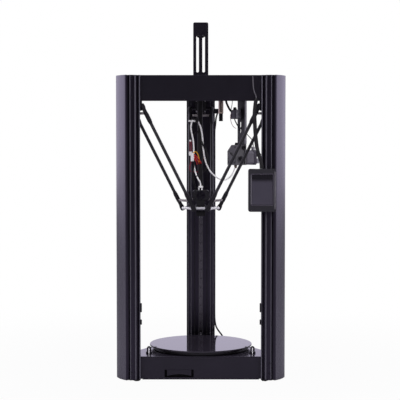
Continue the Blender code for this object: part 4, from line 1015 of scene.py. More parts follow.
shell = moved(prism(cowlOutline(), -cowlBack, -cowlFront), upright)
sinkBore = cylinder(cowl["sinkBore"], cowlLow - overcut, cowlHigh + overcut, 40)
fanBore = moved(cylinder(cowl["fanBore"], cowlFront - overcut, cowl["boreEnd"], 48), alongY(0, 0, cowlMiddle))
dressPiece("cowl_shell", carve(shell, sinkBore, fanBore, at=bedAxis), "black_plastic", "effector",
           bevel=0.0009, segments=3, node="fan_cowl")
ductFront, ductBack = cowl["ductY"]
duct = prism([(-cowl["ductHalf"], cowl["ductBottom"]), (cowl["ductHalf"], cowl["ductBottom"]),
              (cowl["ductTopHalf"], ductTop), (-cowl["ductTopHalf"], ductTop)], -ductBack, -ductFront)
makePiece("cowl_duct", duct, "black_plastic", "effector", bevel=0.0010, segments=3, at=bedUpright)

# fan: a hub and blades that sweep round and climb through the fan's depth, behind a wire guard
fan = {"radius": 0.0106, "hub": 0.0048, "y": -0.0235, "blades": 7, "turn": 0.62, "sweep": 0.55,
       "climb": 0.0052, "thick": 0.0007, "hubHalf": 0.0034, "bladeGrid": (9, 5)}
guard = {"rings": (0.0034, 0.0060, 0.0086, 0.0108), "wire": 0.0007, "spokes": 4, "firstSpoke": 45,
         "spokeStops": (0.0, 0.004, 0.008, 0.0114), "spokeBack": 0.0004, "y": -0.0293}


def fanBlades():
    along, around = fan["bladeGrid"]
    u = np.linspace(0, 1, along)[None, :, None]
    v = np.linspace(0, 1, around)[None, None, :]
    start = np.arange(fan["blades"])[:, None, None] * 2 * np.pi / fan["blades"]
    r = fan["hub"] - 0.0006 + u * (fan["radius"] - fan["hub"]) + 0 * v + 0 * start
    a = start + v * (fan["turn"] - 0.12 * u) + fan["sweep"] * u * u
    z = fan["climb"] * (v - 0.5) * (1 - 0.25 * u) + 0 * start
    grid = np.stack([r * np.cos(a), r * np.sin(a), z + 0 * r], axis=-1)
    return gather(*[(blade.reshape(-1, 3), gridFaces(along, around)) for blade in grid])


def guardShape():
    turn = fullTurn(40)
    wires = []
    for radius in guard["rings"]:
        circle = np.column_stack([radius * np.cos(turn), radius * np.sin(turn), 0 * turn])
        wires.append(tube(circle, guard["wire"], 8, (0.0, 0.0, 1.0), closed=True))
    for spoke in range(guard["spokes"]):
        angle = math.radians(guard["firstSpoke"] + 360 * spoke / guard["spokes"])
        line = [(r * math.cos(angle), r * math.sin(angle), guard["spokeBack"]) for r in guard["spokeStops"]]
        wires.append(tube(line, guard["wire"], 8, (0.0, 0.0, 1.0)))
    return gather(*wires)


fanPlace = bedAxis @ alongY(0, fan["y"], cowlMiddle)
blades = makePiece("fan_blades", fanBlades(), "black_plastic", "fan", at=fanPlace)
thick = blades.modifiers.new("bladeThickness", "SOLIDIFY")
thick.thickness = fan["thick"]
thick.offset = 0.0
hub = turned([(0.0030, -fan["hubHalf"]), (fan["hub"] - 0.0006, -fan["hubHalf"]),
              (fan["hub"], -fan["hubHalf"] + 0.0006), (fan["hub"], fan["hubHalf"])])
makePiece("fan_hub", hub, "black_plastic", "fan", bevel=0.0003, segments=1, node="hotend_fan", at=fanPlace)
makePiece("fan_guard", guardShape(), "base_panel", "effector", slot="dark_plastic",
          at=bedAxis @ alongY(0, guard["y"], cowlMiddle))
corners = [shift(x, cowlFront + 0.0002, cowlMiddle + z) @ upright
           for x in evenly(cowl["screwX"]) for z in evenly(cowl["screwZ"])]
makePiece("cowl_screws", screwsAt(corners, 0.0016, 0.0012), "black_screw", "effector", at=bedAxis)
print("effector")

# base, deck, top cover and switch keep their solids' shapes with soft edges
softenNode("base_tray", "base_panel", 0.0008)
softenNode("base_deck", "gloss_deck", 0.0008)
softenNode("top_cover", "black_panel", 0.0009)
softenNode("power_switch", "black_plastic", 0.0004)
tray = {"padX": 0.1233, "padY": -0.112, "padRadius": 0.0045, "padZ": (0.0016, 0.0075),
        "rim": ((-0.148, -0.1256, 0.0022), (0.148, -0.1215, 0.0052)),
        "faceX": (-0.0858, -0.0240), "faceY": (-0.1257, -0.1190), "faceZ": (0.0110, 0.0272), "arch": 0.0046,
        "shadeSheet": ((-0.0919, -0.1200, 0.0077), (-0.0181, -0.1186, 0.0273))}


# the recess's face, whose lower edge is an arch
def recessFace(steps=24):
    left, right = tray["faceX"]
    low, high = tray["faceZ"]
    share = np.linspace(0, 1, steps + 1)
    arch = np.column_stack([left + (right - left) * share, low + tray["arch"] * (1 - (2 * share - 1)**2)])
    return prism(np.vstack([arch, [(right, high), (left, high)]]), -tray["faceY"][1], -tray["faceY"][0])


pads = [moved(cylinder(tray["padRadius"], *tray["padZ"]), shift(x, tray["padY"]))
        for x in evenly(tray["padX"])]
makePiece("tray_pads", gather(*pads), "black_rubber", "frame", bevel=0.0006, at=bedAxis)
rims = [moved(block(*tray["rim"]), spun(angle, "Z")) for angle in (0, 120, 240)]
makePiece("tray_rims", gather(*rims), "base_panel", "frame", bevel=0.0004, slot="black_panel", at=bedAxis)
makePiece("recess_face", recessFace(), "base_panel", "frame", bevel=0.0006, slot="black_panel", at=bedUpright)
# a near-black sheet behind the recess face: painted shade in the gaps round the face
makePiece("recess_shade_sheet", block(*tray["shadeSheet"]), "deep_black", "frame", slot="black_panel", at=bedAxis)

# bed: heater disc, glass with a fine ground edge, and swing clips
bed = {"bore": 0.02, "glassRadius": 0.134, "glassZ": (0.0711, 0.0751), "glassEdge": 0.0006, "radius": 0.128,
       "z": (0.0636, 0.0708), "step": (0.004, 0.003), "postRadius": 0.008, "postAt": 0.100, "deckTop": 0.0613}
clip = {"at": 0.154, "footRadius": 0.0080, "footHeight": 0.0042, "wire": 0.0021, "half": 0.0040,
        "top": 0.0778, "pinRadius": 0.0011, "pinAhead": 0.0086, "reach": 0.0220, "armHalf": 0.0026,
        "armZ": (0.0757, 0.0768)}
deckFace = bed["deckTop"] + gap


def glassShape():
    low, high = bed["glassZ"]
    wide, edge = bed["glassRadius"], bed["glassEdge"]
    return turned([(bed["bore"], low), (wide - edge, low), (wide, low + edge), (wide, high - edge),
                   (wide - edge, high), (bed["bore"], high)], 160)


def bedShape():
    low, high = bed["z"]
    wide = bed["radius"]
    inset, rise = bed["step"]
    disc = turned([(bed["bore"], low), (wide - inset, low), (wide - inset, low + rise - 0.0004),
                   (wide, low + rise), (wide, high - 0.0005), (wide - 0.0005, high),
                   (bed["bore"], high)], 128)
    post = cylinder(bed["postRadius"], deckFace, low + 0.001, 32)
    posts = [moved(post, spun(angle, "Z") @ shift(bed["postAt"])) for angle in columnAngles.values()]
    return gather(disc, *posts)


# a hoop of wire on a foot, with a flat arm that reaches over the glass
def clipShape():
    half = clip["half"]
    a = np.linspace(0, np.pi, 15)
    bend = np.column_stack([half * np.cos(a), 0 * a, clip["top"] - half + half * np.sin(a)])
    hoop = tube(np.vstack([[(half, 0, deckFace)], bend, [(-half, 0, deckFace)]]), clip["wire"])
    arm = roundedBlock((-clip["reach"], 0.001 - half), evenly(clip["armHalf"]), clip["armZ"], 0.002, 6)
    wide = clip["footRadius"]
    top = deckFace + clip["footHeight"]
    return gather(hoop, arm, turned([(wide, deckFace), (wide, top - 0.0006), (wide - 0.0008, top)]))


makePiece("glass_disc", glassShape(), "dark_glass", "frame", node="glass_plate", at=bedAxis)
makePiece("bed_disc", bedShape(), "black_plastic", "frame", bevel=0.0003, segments=1, slot="dark_plastic",
          node="heated_bed", at=bedAxis)
for name, angle in columnAngles.items():
    place = columnPlace(angle) @ shift(clip["at"])
    makePiece(f"clip_arm_{name}", clipShape(), "black_plastic", f"bed_clip_{name}", bevel=0.0003,
              slot="rail_steel", node=f"bed_clip_{name}", at=place)
    pin = cylinder(clip["pinRadius"], deckFace + 0.0002, clip["top"] - 0.002, 16)
    # the pin's pale colour is a painted highlight
    makePiece(f"clip_pin_{name}", pin, "satin_bar", f"bed_clip_{name}", slot="silver_metal",
              at=shift(y=-clip["pinAhead"]) @ place)
print("base, cover and bed")

# screen: a case with a sunken window, a bead round it and strips beside it, both lighter than the case as
# painted highlights, and a bracket back to the column
screen = {"x": (0.1187, 0.1881), "y": (-0.165, -0.143), "z": (0.431, 0.538), "corner": 0.005,
          "windowX": (0.1277, 0.1788), "windowZ": (0.449, 0.5236), "windowDepth": 0.0015, "margin": 0.0004,
          "beadOut": 0.0016, "beadRadius": 0.0007, "stripY": (-0.1653, -0.1640),
          "strips": (((0.1245, 0.1270), (0.4500, 0.5228)), ((0.1840, 0.1862), (0.4380, 0.5310))),
          "bracket": ((0.160, -0.144), (0.184, -0.144), (0.184, -0.1397), (0.160, -0.1384)),
          "bracketZ": (0.465, 0.505)}
screenFront, screenBack = screen["y"]
windowFloor = -screenFront - screen["windowDepth"]


# the window's ranges, a little wider
def windowWith(margin):
    return [(low - margin, high + margin) for low, high in (screen["windowX"], screen["windowZ"])]


def windowBead():
    ring = roundedOutline(*windowWith(screen["beadOut"]), 0.002, 6)
    path = np.column_stack([ring[:, 0], np.full(len(ring), screenFront + 0.0002), ring[:, 1]])
    return tube(path, screen["beadRadius"], 10, closed=True)


case = roundedBlock(screen["x"], screen["z"], (-screenBack, -screenFront), screen["corner"], 8)
pocket = roundedBlock(*windowWith(screen["margin"]), (windowFloor, -screenFront + overcut), 0.0012, 4)
dressPiece("screen_shell", carve(case, pocket, at=bedUpright), "dark_case", "frame", bevel=0.0018, segments=4,
           slot="black_panel", node="screen_case")
pane = roundedBlock(screen["windowX"], screen["windowZ"], (windowFloor + gap, -screenFront - gap), 0.0010, 4)
makePiece("display_pane", pane, "display", "frame", bevel=0.0003, slot="dark_glass", node="screen_glass",
          at=bedUpright)
# a raised bead whose lighter finish is a painted highlight line round the window
makePiece("window_bead", windowBead(), "violet_grey", "frame", slot="black_panel", at=bedAxis)
# lighter strips beside the window on the black case: painted highlights
strips = [block(*zip(x, screen["stripY"], z)) for x, z in screen["strips"]]
makePiece("screen_highlight_strips", gather(*strips), "edge_grey", "frame", bevel=0.0003, slot="black_panel",
          at=bedAxis)
makePiece("screen_bracket", prism(screen["bracket"], *screen["bracketZ"]), "black_plastic", "frame",
          bevel=0.0008, slot="black_panel", at=bedAxis)

# spool arm: a plate with two slots on a foot, and a turned spindle behind it
arm = {"half": 0.020, "y": (0.050, 0.054), "z": (0.7733, 0.921), "corner": 0.004, "slots": (-0.0085, 0.0076),
       "slotHalf": 0.0034, "slotZ": (0.789, 0.8885), "footY": (0.018, 0.0535), "footThick": 0.003,
       "screwX": 0.012, "screwY": 0.030, "spindleZ": 0.902, "spindle": 0.012, "flange": 0.016,
       "length": 0.085, "hollow": 0.006}
armFront, armBack = arm["y"]
footTop = arm["z"][0] + arm["footThick"]


def spindleShape():
    wide, thin, end, hollow = arm["flange"], arm["spindle"], arm["length"], arm["hollow"]
    return turned([(wide - 0.001, gap), (wide, 0.0010), (wide, 0.003), (thin, 0.0036), (thin, end - 0.005),
                   (wide, end - 0.0032), (wide, end - 0.0006), (wide - 0.0008, end), (hollow, end),
                   (hollow, end - 0.004)], 56)


plate = roundedBlock(evenly(arm["half"]), arm["z"], (-armBack, -armFront), arm["corner"], 8)
slot = prism(slotOutline(arm["slotHalf"], *arm["slotZ"]), -armBack - overcut, -armFront + overcut)
plate = carve(plate, *[moved(slot, shift(x)) for x in arm["slots"]], at=bedUpright)
dressPiece("arm_plate", plate, "black_panel", "frame", bevel=0.0006, segments=3, node="spool_arm")
foot = roundedBlock(evenly(arm["half"]), arm["footY"], (arm["z"][0], footTop), 0.003, 6)
makePiece("arm_foot", foot, "black_panel", "frame", bevel=0.0006, at=bedAxis)
footScrews = [shift(x, arm["screwY"], footTop) for x in evenly(arm["screwX"])]
makePiece("arm_screws", screwsAt(footScrews, 0.0032, 0.0026), "black_screw", "frame", at=bedAxis)
makePiece("spindle_roller", spindleShape(), "black_plastic", "frame", node="spool_spindle",
          at=bedAxis @ alongY(0, armBack, arm["spindleZ"]))
print("screen and spool arm")

# extruder, in the right-hand panel's frame: x outwards through the panel, y along it
panel = columnPlace(30)
hanger = {"x": (0.1202, 0.1232), "y": (-0.0275, 0.0120), "z": (0.546, 0.764), "corner": 0.003,
          "slotY": -0.002, "slotHalf": 0.0035, "slotsZ": ((0.6428, 0.6593), (0.6287, 0.6393)),
          "flange": ((0.1188, -0.0279, 0.600), (0.1246, -0.0257, 0.7225))}
hangerX = hanger["x"]
plate = roundedBlock(hanger["y"], hanger["z"], hangerX, hanger["corner"])
slots = [prism(slotOutline(hanger["slotHalf"], *z), hangerX[0] - overcut, hangerX[1] + overcut)
         for z in hanger["slotsZ"]]
plate = carve(plate, *[moved(slot, shift(hanger["slotY"])) for slot in slots], at=panel @ sideways)
dressPiece("hanger_plate", plate, "black_panel", "frame", bevel=0.0005, node="extruder_bracket")
# the flange's light grey on the black hanger is painted light on its lit edge
makePiece("hanger_flange", block(*hanger["flange"]), "light_grey_case", "frame", bevel=0.0006,
          slot="black_panel", at=panel)

# the drive's housing: its vents, gear boss and screws, and where the filament goes in and out
housing = {"x": (0.093, 0.1199), "y": (-0.024, 0.020), "z": (0.5436, 0.597), "chamfer": (0.020, 0.016),
           "rim": ((0.1198, -0.0280, 0.5438), (0.1237, -0.0240, 0.5995)),
           "ventY": (0.0115, 0.0160), "ventsFrom": (0.5605, 0.5800), "ventPitch": 0.0046,
           "ventHeight": 0.0022, "bossX": 0.1165, "bossZ": 0.5896, "inletAt": (0.105, -0.0073),
           "screws": ((-0.018, 0.591), (0.014, 0.551), (-0.019, 0.551))}
# profiles (radius, z) from the boss's foot, the housing's top and the housing's bottom
housingProfiles = {
    "boss": ((0.0024, 0.0), (0.0024, 0.0048), (0.0048, 0.0048), (0.0056, 0.0040), (0.0056, 0.0)),
    "inlet": ((0.0045, -0.001), (0.0045, 0.003), (0.0036, 0.0034), (0.0036, 0.006), (0.0018, 0.006)),
    "outlet": ((0.0024, -0.0085), (0.0034, -0.0085), (0.0034, -0.0040), (0.0042, -0.0036), (0.0042, 0.001),
               (0.0024, 0.001)),
}
housingFace = housing["x"][0]
housingFront, housingBack = housing["y"]
housingLow, housingHigh = housing["z"]


def housingSection():
    along, down = housing["chamfer"]
    return [(housingFront, housingLow), (housingBack, housingLow), (housingBack, housingHigh - down),
            (housingBack - along, housingHigh), (housingFront, housingHigh)]


def ventShapes():
    near, far = housing["ventY"]
    heights = np.arange(*housing["ventsFrom"], housing["ventPitch"])
    return gather(*[block((housingFace - gap, near, z), (housingFace + 0.001, far, z + housing["ventHeight"]))
                    for z in heights])


makePiece("drive_housing", prism(housingSection(), *housing["x"]), "dark_plastic", "frame", bevel=0.0016,
          segments=4, node="extruder_body", at=panel @ sideways)
makePiece("housing_rim", block(*housing["rim"]), "dark_plastic", "frame", bevel=0.0004, at=panel)
makePiece("housing_slots", ventShapes(), "black_plastic", "frame", slot="dark_plastic", at=panel)
makePiece("gear_boss", turned(housingProfiles["boss"], 40, ring=True), "black_plastic", "frame", bevel=0.0003,
          slot="dark_plastic", at=panel @ shift(housing["bossX"], housingFront, housing["bossZ"]) @ upright)
heads = [shift(housing["bossX"], housingFront + 0.0004, housing["bossZ"]) @ upright]
heads += [shift(housingFace + 0.0002, y, z) @ spun(-90, "Y") for y, z in housing["screws"]]
makePiece("housing_screws", screwsAt(heads, 0.0021, 0.0016), "black_screw", "frame", slot="silver_metal",
          at=panel)
makePiece("filament_inlet", turned(housingProfiles["inlet"], 28), "black_plastic", "frame", bevel=0.0003,
          slot="dark_plastic", at=panel @ shift(*housing["inletAt"], housingHigh))
makePiece("tube_outlet", turned(housingProfiles["outlet"], 28, ring=True), "bronze", "frame", bevel=0.0003,
          slot="silver_metal", at=bedAxis @ shift(*feedTube["route"][0][:2], housingLow))

# feed motor: two end caps and a stack of plates, with sockets and a plug behind
motor = {"x": (0.1235, 0.162), "side": 0.0395, "capCut": 0.004, "capLengths": (0.0085, 0.0095),
         "stackSide": 0.0383, "stackCut": 0.0055, "stackOverlap": 0.0005,
         "sockets": (((0.1612, -0.0205, 0.5475), (0.1682, -0.0080, 0.5610)),
                     ((0.1500, -0.0170, 0.5825), (0.1572, -0.0095, 0.5920))),
         "plug": ((0.1680, -0.0200, 0.5485), (0.1712, -0.0100, 0.5600))}


def octagon(side, chamfer):
    half = side / 2
    flat = half - chamfer
    return mirrored([(half, flat), (flat, half), (-flat, half), (-half, flat)])


seat = panel @ alongX(0, 0, housingLow + motor["side"] / 2)
start, end = motor["x"]
capOutline = octagon(motor["side"], motor["capCut"])
frontCap, rearCap = motor["capLengths"]
caps = gather(prism(capOutline, start, start + frontCap), prism(capOutline, end - rearCap, end))
makePiece("feed_motor_caps", caps, "violet_grey", "frame", bevel=0.0008, segments=3, slot="dark_plastic",
          node="extruder_motor", at=seat)
stack = prism(octagon(motor["stackSide"], motor["stackCut"]), start + frontCap - motor["stackOverlap"],
              end - rearCap + motor["stackOverlap"])
makePiece("feed_motor_stack", stack, "laminations", "frame", bevel=0.0005, slot="dark_plastic", at=seat)
sockets = gather(*[block(*corners) for corners in motor["sockets"]])
makePiece("motor_sockets", sockets, "light_grey_case", "frame", bevel=0.0008, slot="dark_plastic", at=panel)
makePiece("motor_plug", block(*motor["plug"]), "pale_nylon", "frame", bevel=0.0006, slot="white_tube",
          at=panel)
softenNode("extruder_lever", "dark_plastic", 0.0007)

# knob: a cylinder whose radius dips in flutes, r(a) = radius - dip (1 + cos(count a)) / 2
knob = {"x": 0.107, "z": 0.5607, "radius": 0.0065, "length": 0.0087, "flutes": 14, "dip": 0.0007,
        "sides": 112}


def knobShape():
    wave = knob["radius"] - knob["dip"] * (1 + np.cos(knob["flutes"] * fullTurn(knob["sides"]))) / 2
    dish = np.full(knob["sides"], knob["radius"] / 2)
    rim = knob["length"] - 0.0008
    radii = np.stack([0.92 * wave, wave, wave, 0.90 * wave, dish, dish])
    return ringStack(radii, [0.0, 0.0006, rim, knob["length"], knob["length"], rim])


makePiece("tension_knob", knobShape(), "black_plastic", "knob", bevel=0.0002, segments=1,
          node="extruder_knob", at=panel @ shift(knob["x"], housingFront - gap, knob["z"]) @ upright)
print("extruder")

# filament sensor on the hanger, and a polished guide under the top cover with a black end
sensor = {"x": (0.1030, 0.1201), "y": (-0.006, 0.020), "z": (0.666, 0.690),
          "lid": ((0.1045, -0.0074, 0.6668), (0.1201, -0.0056, 0.6906)), "inletAt": (0.1085, 0.006),
          "inlet": ((0.0050, -0.001), (0.0050, 0.0035), (0.0038, 0.0040), (0.0038, 0.0070), (0.0016, 0.0070))}
guide = {"place": (0.0535, 0.050), "radius": 0.0066, "low": 0.680, "top": 0.7692, "grooveHalf": 0.0014,
         "grooveLow": 0.684, "endRadius": 0.0054, "endLow": 0.660, "ringPitch": 0.004, "ringDepth": 0.0007}


# a rubber end with a few rings cut into it
def guideEnd():
    wide, low, high = guide["endRadius"], guide["endLow"], guide["low"]
    thin = wide - guide["ringDepth"]
    profile = [(wide - 0.0008, low), (wide, low + 0.001)]
    for z in np.arange(low + guide["ringPitch"], high - 0.003, guide["ringPitch"]):
        profile += [(wide, z), (thin, z + 0.0004), (thin, z + 0.0012), (wide, z + 0.0016)]
    return turned(profile + [(wide, high - 0.0004), (wide - 0.0010, high + 0.0004)])


makePiece("filament_sensor", roundedBlock(sensor["x"], sensor["y"], sensor["z"], 0.002, 4), "violet_grey",
          "frame", bevel=0.0010, segments=3, slot="dark_plastic", at=panel)
# the lid's grey is raised to make up for the top cover's shade: painted light
makePiece("sensor_lid", block(*sensor["lid"]), "light_grey_case", "frame", bevel=0.0008, segments=3,
          slot="dark_plastic", at=panel)
makePiece("sensor_inlet", turned(sensor["inlet"], 28), "black_plastic", "frame", bevel=0.0003,
          slot="dark_plastic", at=panel @ shift(*sensor["inletAt"], sensor["z"][1]))
guidePlace = bedAxis @ shift(*guide["place"])
wide = guide["radius"]
stem = turned([(wide - 0.0006, guide["low"]), (wide, guide["low"] + 0.0008), (wide, guide["top"])], 40)
makePiece("spool_guide", stem, "tan_metal", "frame", slot="silver_metal", at=guidePlace)
groove = block((-guide["grooveHalf"], -wide - gap, guide["grooveLow"]),
               (guide["grooveHalf"], -wide + 0.001, guide["top"]))
makePiece("guide_groove", groove, "black_plastic", "frame", slot="dark_plastic", at=guidePlace)
makePiece("guide_end", guideEnd(), "black_rubber", "frame", at=guidePlace)
print("sensor and guide")

# thin leads: routes in the bed's frame; the ones at the effector have no body and are baked in place
leads = {
    "sensor_lead": {"diameter": 0.0056, "finish": "black_rubber", "moves": False, "route": [
        (0.0655, 0.062, 0.7690), (0.0657, 0.062, 0.7400), (0.0672, 0.062, 0.7150), (0.0715, 0.0622, 0.7020),
        (0.0765, 0.0630, 0.6925), (0.0805, 0.0648, 0.6870)]},
    "sensor_wire_pink": {"diameter": 0.0016, "finish": "pink_wire", "moves": False, "route": [
        (0.0812, 0.0650, 0.6820), (0.0790, 0.0655, 0.6740), (0.0800, 0.0665, 0.6630),
        (0.0830, 0.0690, 0.6530), (0.0880, 0.0730, 0.6450), (0.0945, 0.0778, 0.6410)]},
    "sensor_wire_thin": {"diameter": 0.0018, "finish": "grey_lead", "moves": False, "route": [
        (0.0848, 0.0625, 0.7690), (0.0846, 0.0625, 0.7300), (0.0838, 0.0628, 0.7080),
        (0.0815, 0.0638, 0.6950), (0.0806, 0.0650, 0.6880)]},
    "sensor_wire_dark": {"diameter": 0.0030, "finish": "black_rubber", "moves": False, "route": [
        (0.0900, 0.0560, 0.6668), (0.0915, 0.0555, 0.6610), (0.0955, 0.0550, 0.6530),
        (0.1000, 0.0555, 0.6450), (0.1035, 0.0575, 0.6375), (0.1056, 0.0600, 0.6335)]},
    "motor_lead": {"diameter": 0.0022, "finish": "black_rubber", "moves": False, "route": [
        (0.1184, 0.0450, 0.6330), (0.1222, 0.0500, 0.6262), (0.1300, 0.0570, 0.6180),
        (0.1361, 0.0620, 0.6113), (0.1395, 0.0650, 0.6030), (0.1401, 0.0656, 0.5965),
        (0.1400, 0.0657, 0.5910)]},
    "column_lead": {"diameter": 0.0045, "finish": "black_rubber", "moves": False, "route": [
        (0.0475, 0.1900, 0.6920), (0.0466, 0.1897, 0.6850), (0.0440, 0.1920, 0.6770),
        (0.0421, 0.1965, 0.6680), (0.0413, 0.2010, 0.6560), (0.0399, 0.2045, 0.6440),
        (0.0388, 0.2053, 0.6320), (0.0388, 0.2053, 0.5800), (0.0388, 0.2053, 0.4600),
        (0.0388, 0.2053, 0.3400), (0.0388, 0.2053, 0.2200), (0.0388, 0.2053, 0.1300),
        (0.0394, 0.2045, 0.1085), (0.0413, 0.1990, 0.0950), (0.0449, 0.1880, 0.0862),
        (0.0515, 0.1725, 0.0782), (0.0585, 0.1590, 0.0708), (0.0630, 0.1500, 0.0605)]},
    "harness_branch": {"diameter": 0.0045, "finish": "black_rubber", "moves": True, "route": [
        (0.0000, 0.0260, 0.6150), (0.0035, 0.0120, 0.6030), (0.0075, 0.0095, 0.5940),
        (0.0125, 0.0120, 0.5830), (0.0175, 0.0170, 0.5690), (0.0200, 0.0240, 0.5560),
        (0.0185, 0.0310, 0.5430), (0.0130, 0.0310, 0.5320), (0.0040, 0.0240, 0.5250)]},
    "fan_wire_yellow": {"diameter": 0.0027, "finish": "yellow_wire", "moves": True, "route": [
        (-0.0208, -0.0095, 0.5722), (-0.0188, -0.0110, 0.5764), (-0.0152, -0.0106, 0.5792),
        (-0.0112, -0.0070, 0.5782), (-0.0080, -0.0015, 0.5735), (-0.0060, 0.0045, 0.5675),
        (-0.0047, 0.0105, 0.5610), (-0.0040, 0.0160, 0.5545), (-0.0038, 0.0200, 0.5480)]},
    "heater_wire_a": {"diameter": 0.0027, "finish": "red_wire", "moves": True, "route": [
        (-0.0205, -0.0098, 0.5712), (-0.0172, -0.0112, 0.5715), (-0.0136, -0.0098, 0.5696),
        (-0.0095, -0.0045, 0.5650), (-0.0048, 0.0035, 0.5590), (-0.0008, 0.0115, 0.5535),
        (0.0010, 0.0190, 0.5480)]},
    "heater_wire_b": {"diameter": 0.0027, "finish": "red_wire", "moves": True, "route": [
        (-0.0205, -0.0098, 0.5662), (-0.0172, -0.0112, 0.5663), (-0.0140, -0.0098, 0.5642),
        (-0.0108, -0.0042, 0.5600), (-0.0077, 0.0045, 0.5549), (-0.0055, 0.0120, 0.5508),
        (-0.0045, 0.0185, 0.5470)]},
    "heater_wire_c": {"diameter": 0.0027, "finish": "red_wire", "moves": True, "route": [
        (-0.0232, -0.0090, 0.5628), (-0.0200, -0.0111, 0.5620), (-0.0168, -0.0112, 0.5602),
        (-0.0142, -0.0080, 0.5576), (-0.0124, -0.0010, 0.5546), (-0.0111, 0.0068, 0.5516),
        (-0.0101, 0.0135, 0.5490), (-0.0095, 0.0185, 0.5462)]},
    "plug_wire_black": {"diameter": 0.0048, "finish": "black_rubber", "moves": True, "route": [
        (-0.0185, -0.0105, 0.5590), (-0.0178, -0.0114, 0.5500), (-0.0183, -0.0112, 0.5420),
        (-0.0202, -0.0097, 0.5340), (-0.0222, -0.0055, 0.5240), (-0.0205, 0.0020, 0.5090),
        (-0.0165, 0.0100, 0.4940), (-0.0115, 0.0140, 0.4785)]},
    "fan_lead": {"diameter": 0.0034, "finish": "black_rubber", "moves": True, "route": [
        (-0.0060, 0.0270, 0.6330), (-0.0165, 0.0150, 0.6270), (-0.0245, 0.0040, 0.6210),
        (-0.0276, -0.0020, 0.6150), (-0.0276, -0.0032, 0.6090)]},
    "fan_wire_maroon": {"diameter": 0.0028, "finish": "maroon_wire", "moves": True, "route": [
        (-0.0288, -0.0035, 0.6090), (-0.0288, -0.0075, 0.5970), (-0.0280, -0.0098, 0.5860),
        (-0.0274, -0.0102, 0.5710)]},
    "fan_wire_dark": {"diameter": 0.0028, "finish": "maroon_wire", "moves": True, "route": [
        (-0.0258, -0.0033, 0.6090), (-0.0248, -0.0075, 0.5970), (-0.0240, -0.0098, 0.5860),
        (-0.0236, -0.0102, 0.5710)]},
    "plug_wire": {"diameter": 0.0034, "finish": "maroon_wire", "moves": True, "route": [
        (-0.0242, -0.0108, 0.5590), (-0.0272, -0.0110, 0.5470), (-0.0290, -0.0085, 0.5370),
        (-0.0278, -0.0020, 0.5300), (-0.0235, 0.0060, 0.5270), (-0.0150, 0.0150, 0.5265),
        (-0.0070, 0.0205, 0.5260)]},
}
leadShape = {"spacing": 0.0025, "sides": 10, "reference": (0.9, 0.45, 0.02)}
for name, lead in leads.items():
    path = smoothRoute(np.asarray(lead["route"]) + (0, bedY, 0), leadShape["spacing"])
    shape = tube(path, lead["diameter"] / 2, leadShape["sides"], leadShape["reference"])
    piece = makePiece(name, shape, lead["finish"], None if lead["moves"] else "frame")
    if lead["moves"]:
        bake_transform(piece)

# plugs on the wires; ties: a white bar across the loop's top, dark bands, and a white fork at the hot end
wirePlugs = (((-0.0310, -0.0126, 0.5695), (-0.0222, -0.0080, 0.5795)),
             ((-0.0262, -0.0135, 0.5545), (-0.0182, -0.0080, 0.5755)),
             ((-0.0300, -0.0055, 0.6045), (-0.0252, -0.0010, 0.6105)))
ties = {"barX": (-0.0322, -0.0141), "barZ": (0.6572, 0.6616), "barDepth": (0.0110, 0.0145),
        "clip": ((-0.0205, -0.0108, 0.6545), (-0.0066, 0.0100, 0.6690)),
        "tubeZ": 0.5150, "sleeveZ": 0.5710,
        "tubeBand": ((0.0019, -0.0013), (0.0028, -0.0013), (0.0028, 0.0013), (0.0019, 0.0013)),
        "sleeveBand": ((0.0044, -0.0034), (0.0058, -0.0026), (0.0062, 0.0), (0.0058, 0.0026),
                       (0.0044, 0.0034)),
        "fork": (((-0.0066, -0.0035, 0.4770), (-0.0034, 0.0030, 0.4858)),
                 ((0.0014, -0.0035, 0.4770), (0.0046, 0.0030, 0.4858)))}


# the place on a path at a height, with z along the path
def placeOnPath(path, height):
    index = int(np.argmin(np.abs(path[:, 2] - height)))
    axis = Vector(path[index + 1] - path[index - 1]).to_track_quat("Z", "Y").to_matrix().to_4x4()
    return shift(*path[index]) @ axis


plugs = makePiece("wire_plugs", gather(*[block(*corners) for corners in wirePlugs]), "pale_nylon", None,
                  bevel=0.0006, slot="white_tube", at=bedAxis)
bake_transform(plugs)
tieBar = roundedBlock(ties["barX"], ties["barZ"], ties["barDepth"], 0.0012, 4)
makePiece("loop_tie", tieBar, "pale_nylon", "effector", bevel=0.0005, slot="white_tube", at=bedUpright)
makePiece("loop_clip", block(*ties["clip"]), "black_plastic", "effector", bevel=0.0015, segments=3,
          at=bedAxis)
tubePath = routeInFrame(feedTube)
fallingPart = tubePath[tubePath[:, 0] <= 0]
makePiece("tube_tie", turned(ties["tubeBand"], 24, ring=True), "black_rubber", "effector", bevel=0.0003,
          at=placeOnPath(fallingPart, ties["tubeZ"]))
makePiece("sleeve_band", turned(ties["sleeveBand"], 24, ring=True), "black_rubber", "frame", bevel=0.0003,
          at=placeOnPath(routeInFrame(screenCable), ties["sleeveZ"]))
makePiece("fitting_fork", gather(*[block(*corners) for corners in ties["fork"]]), "pale_nylon", "effector",
          bevel=0.0006, slot="white_tube", at=bedAxis)
print("leads and ties:", len(leads))

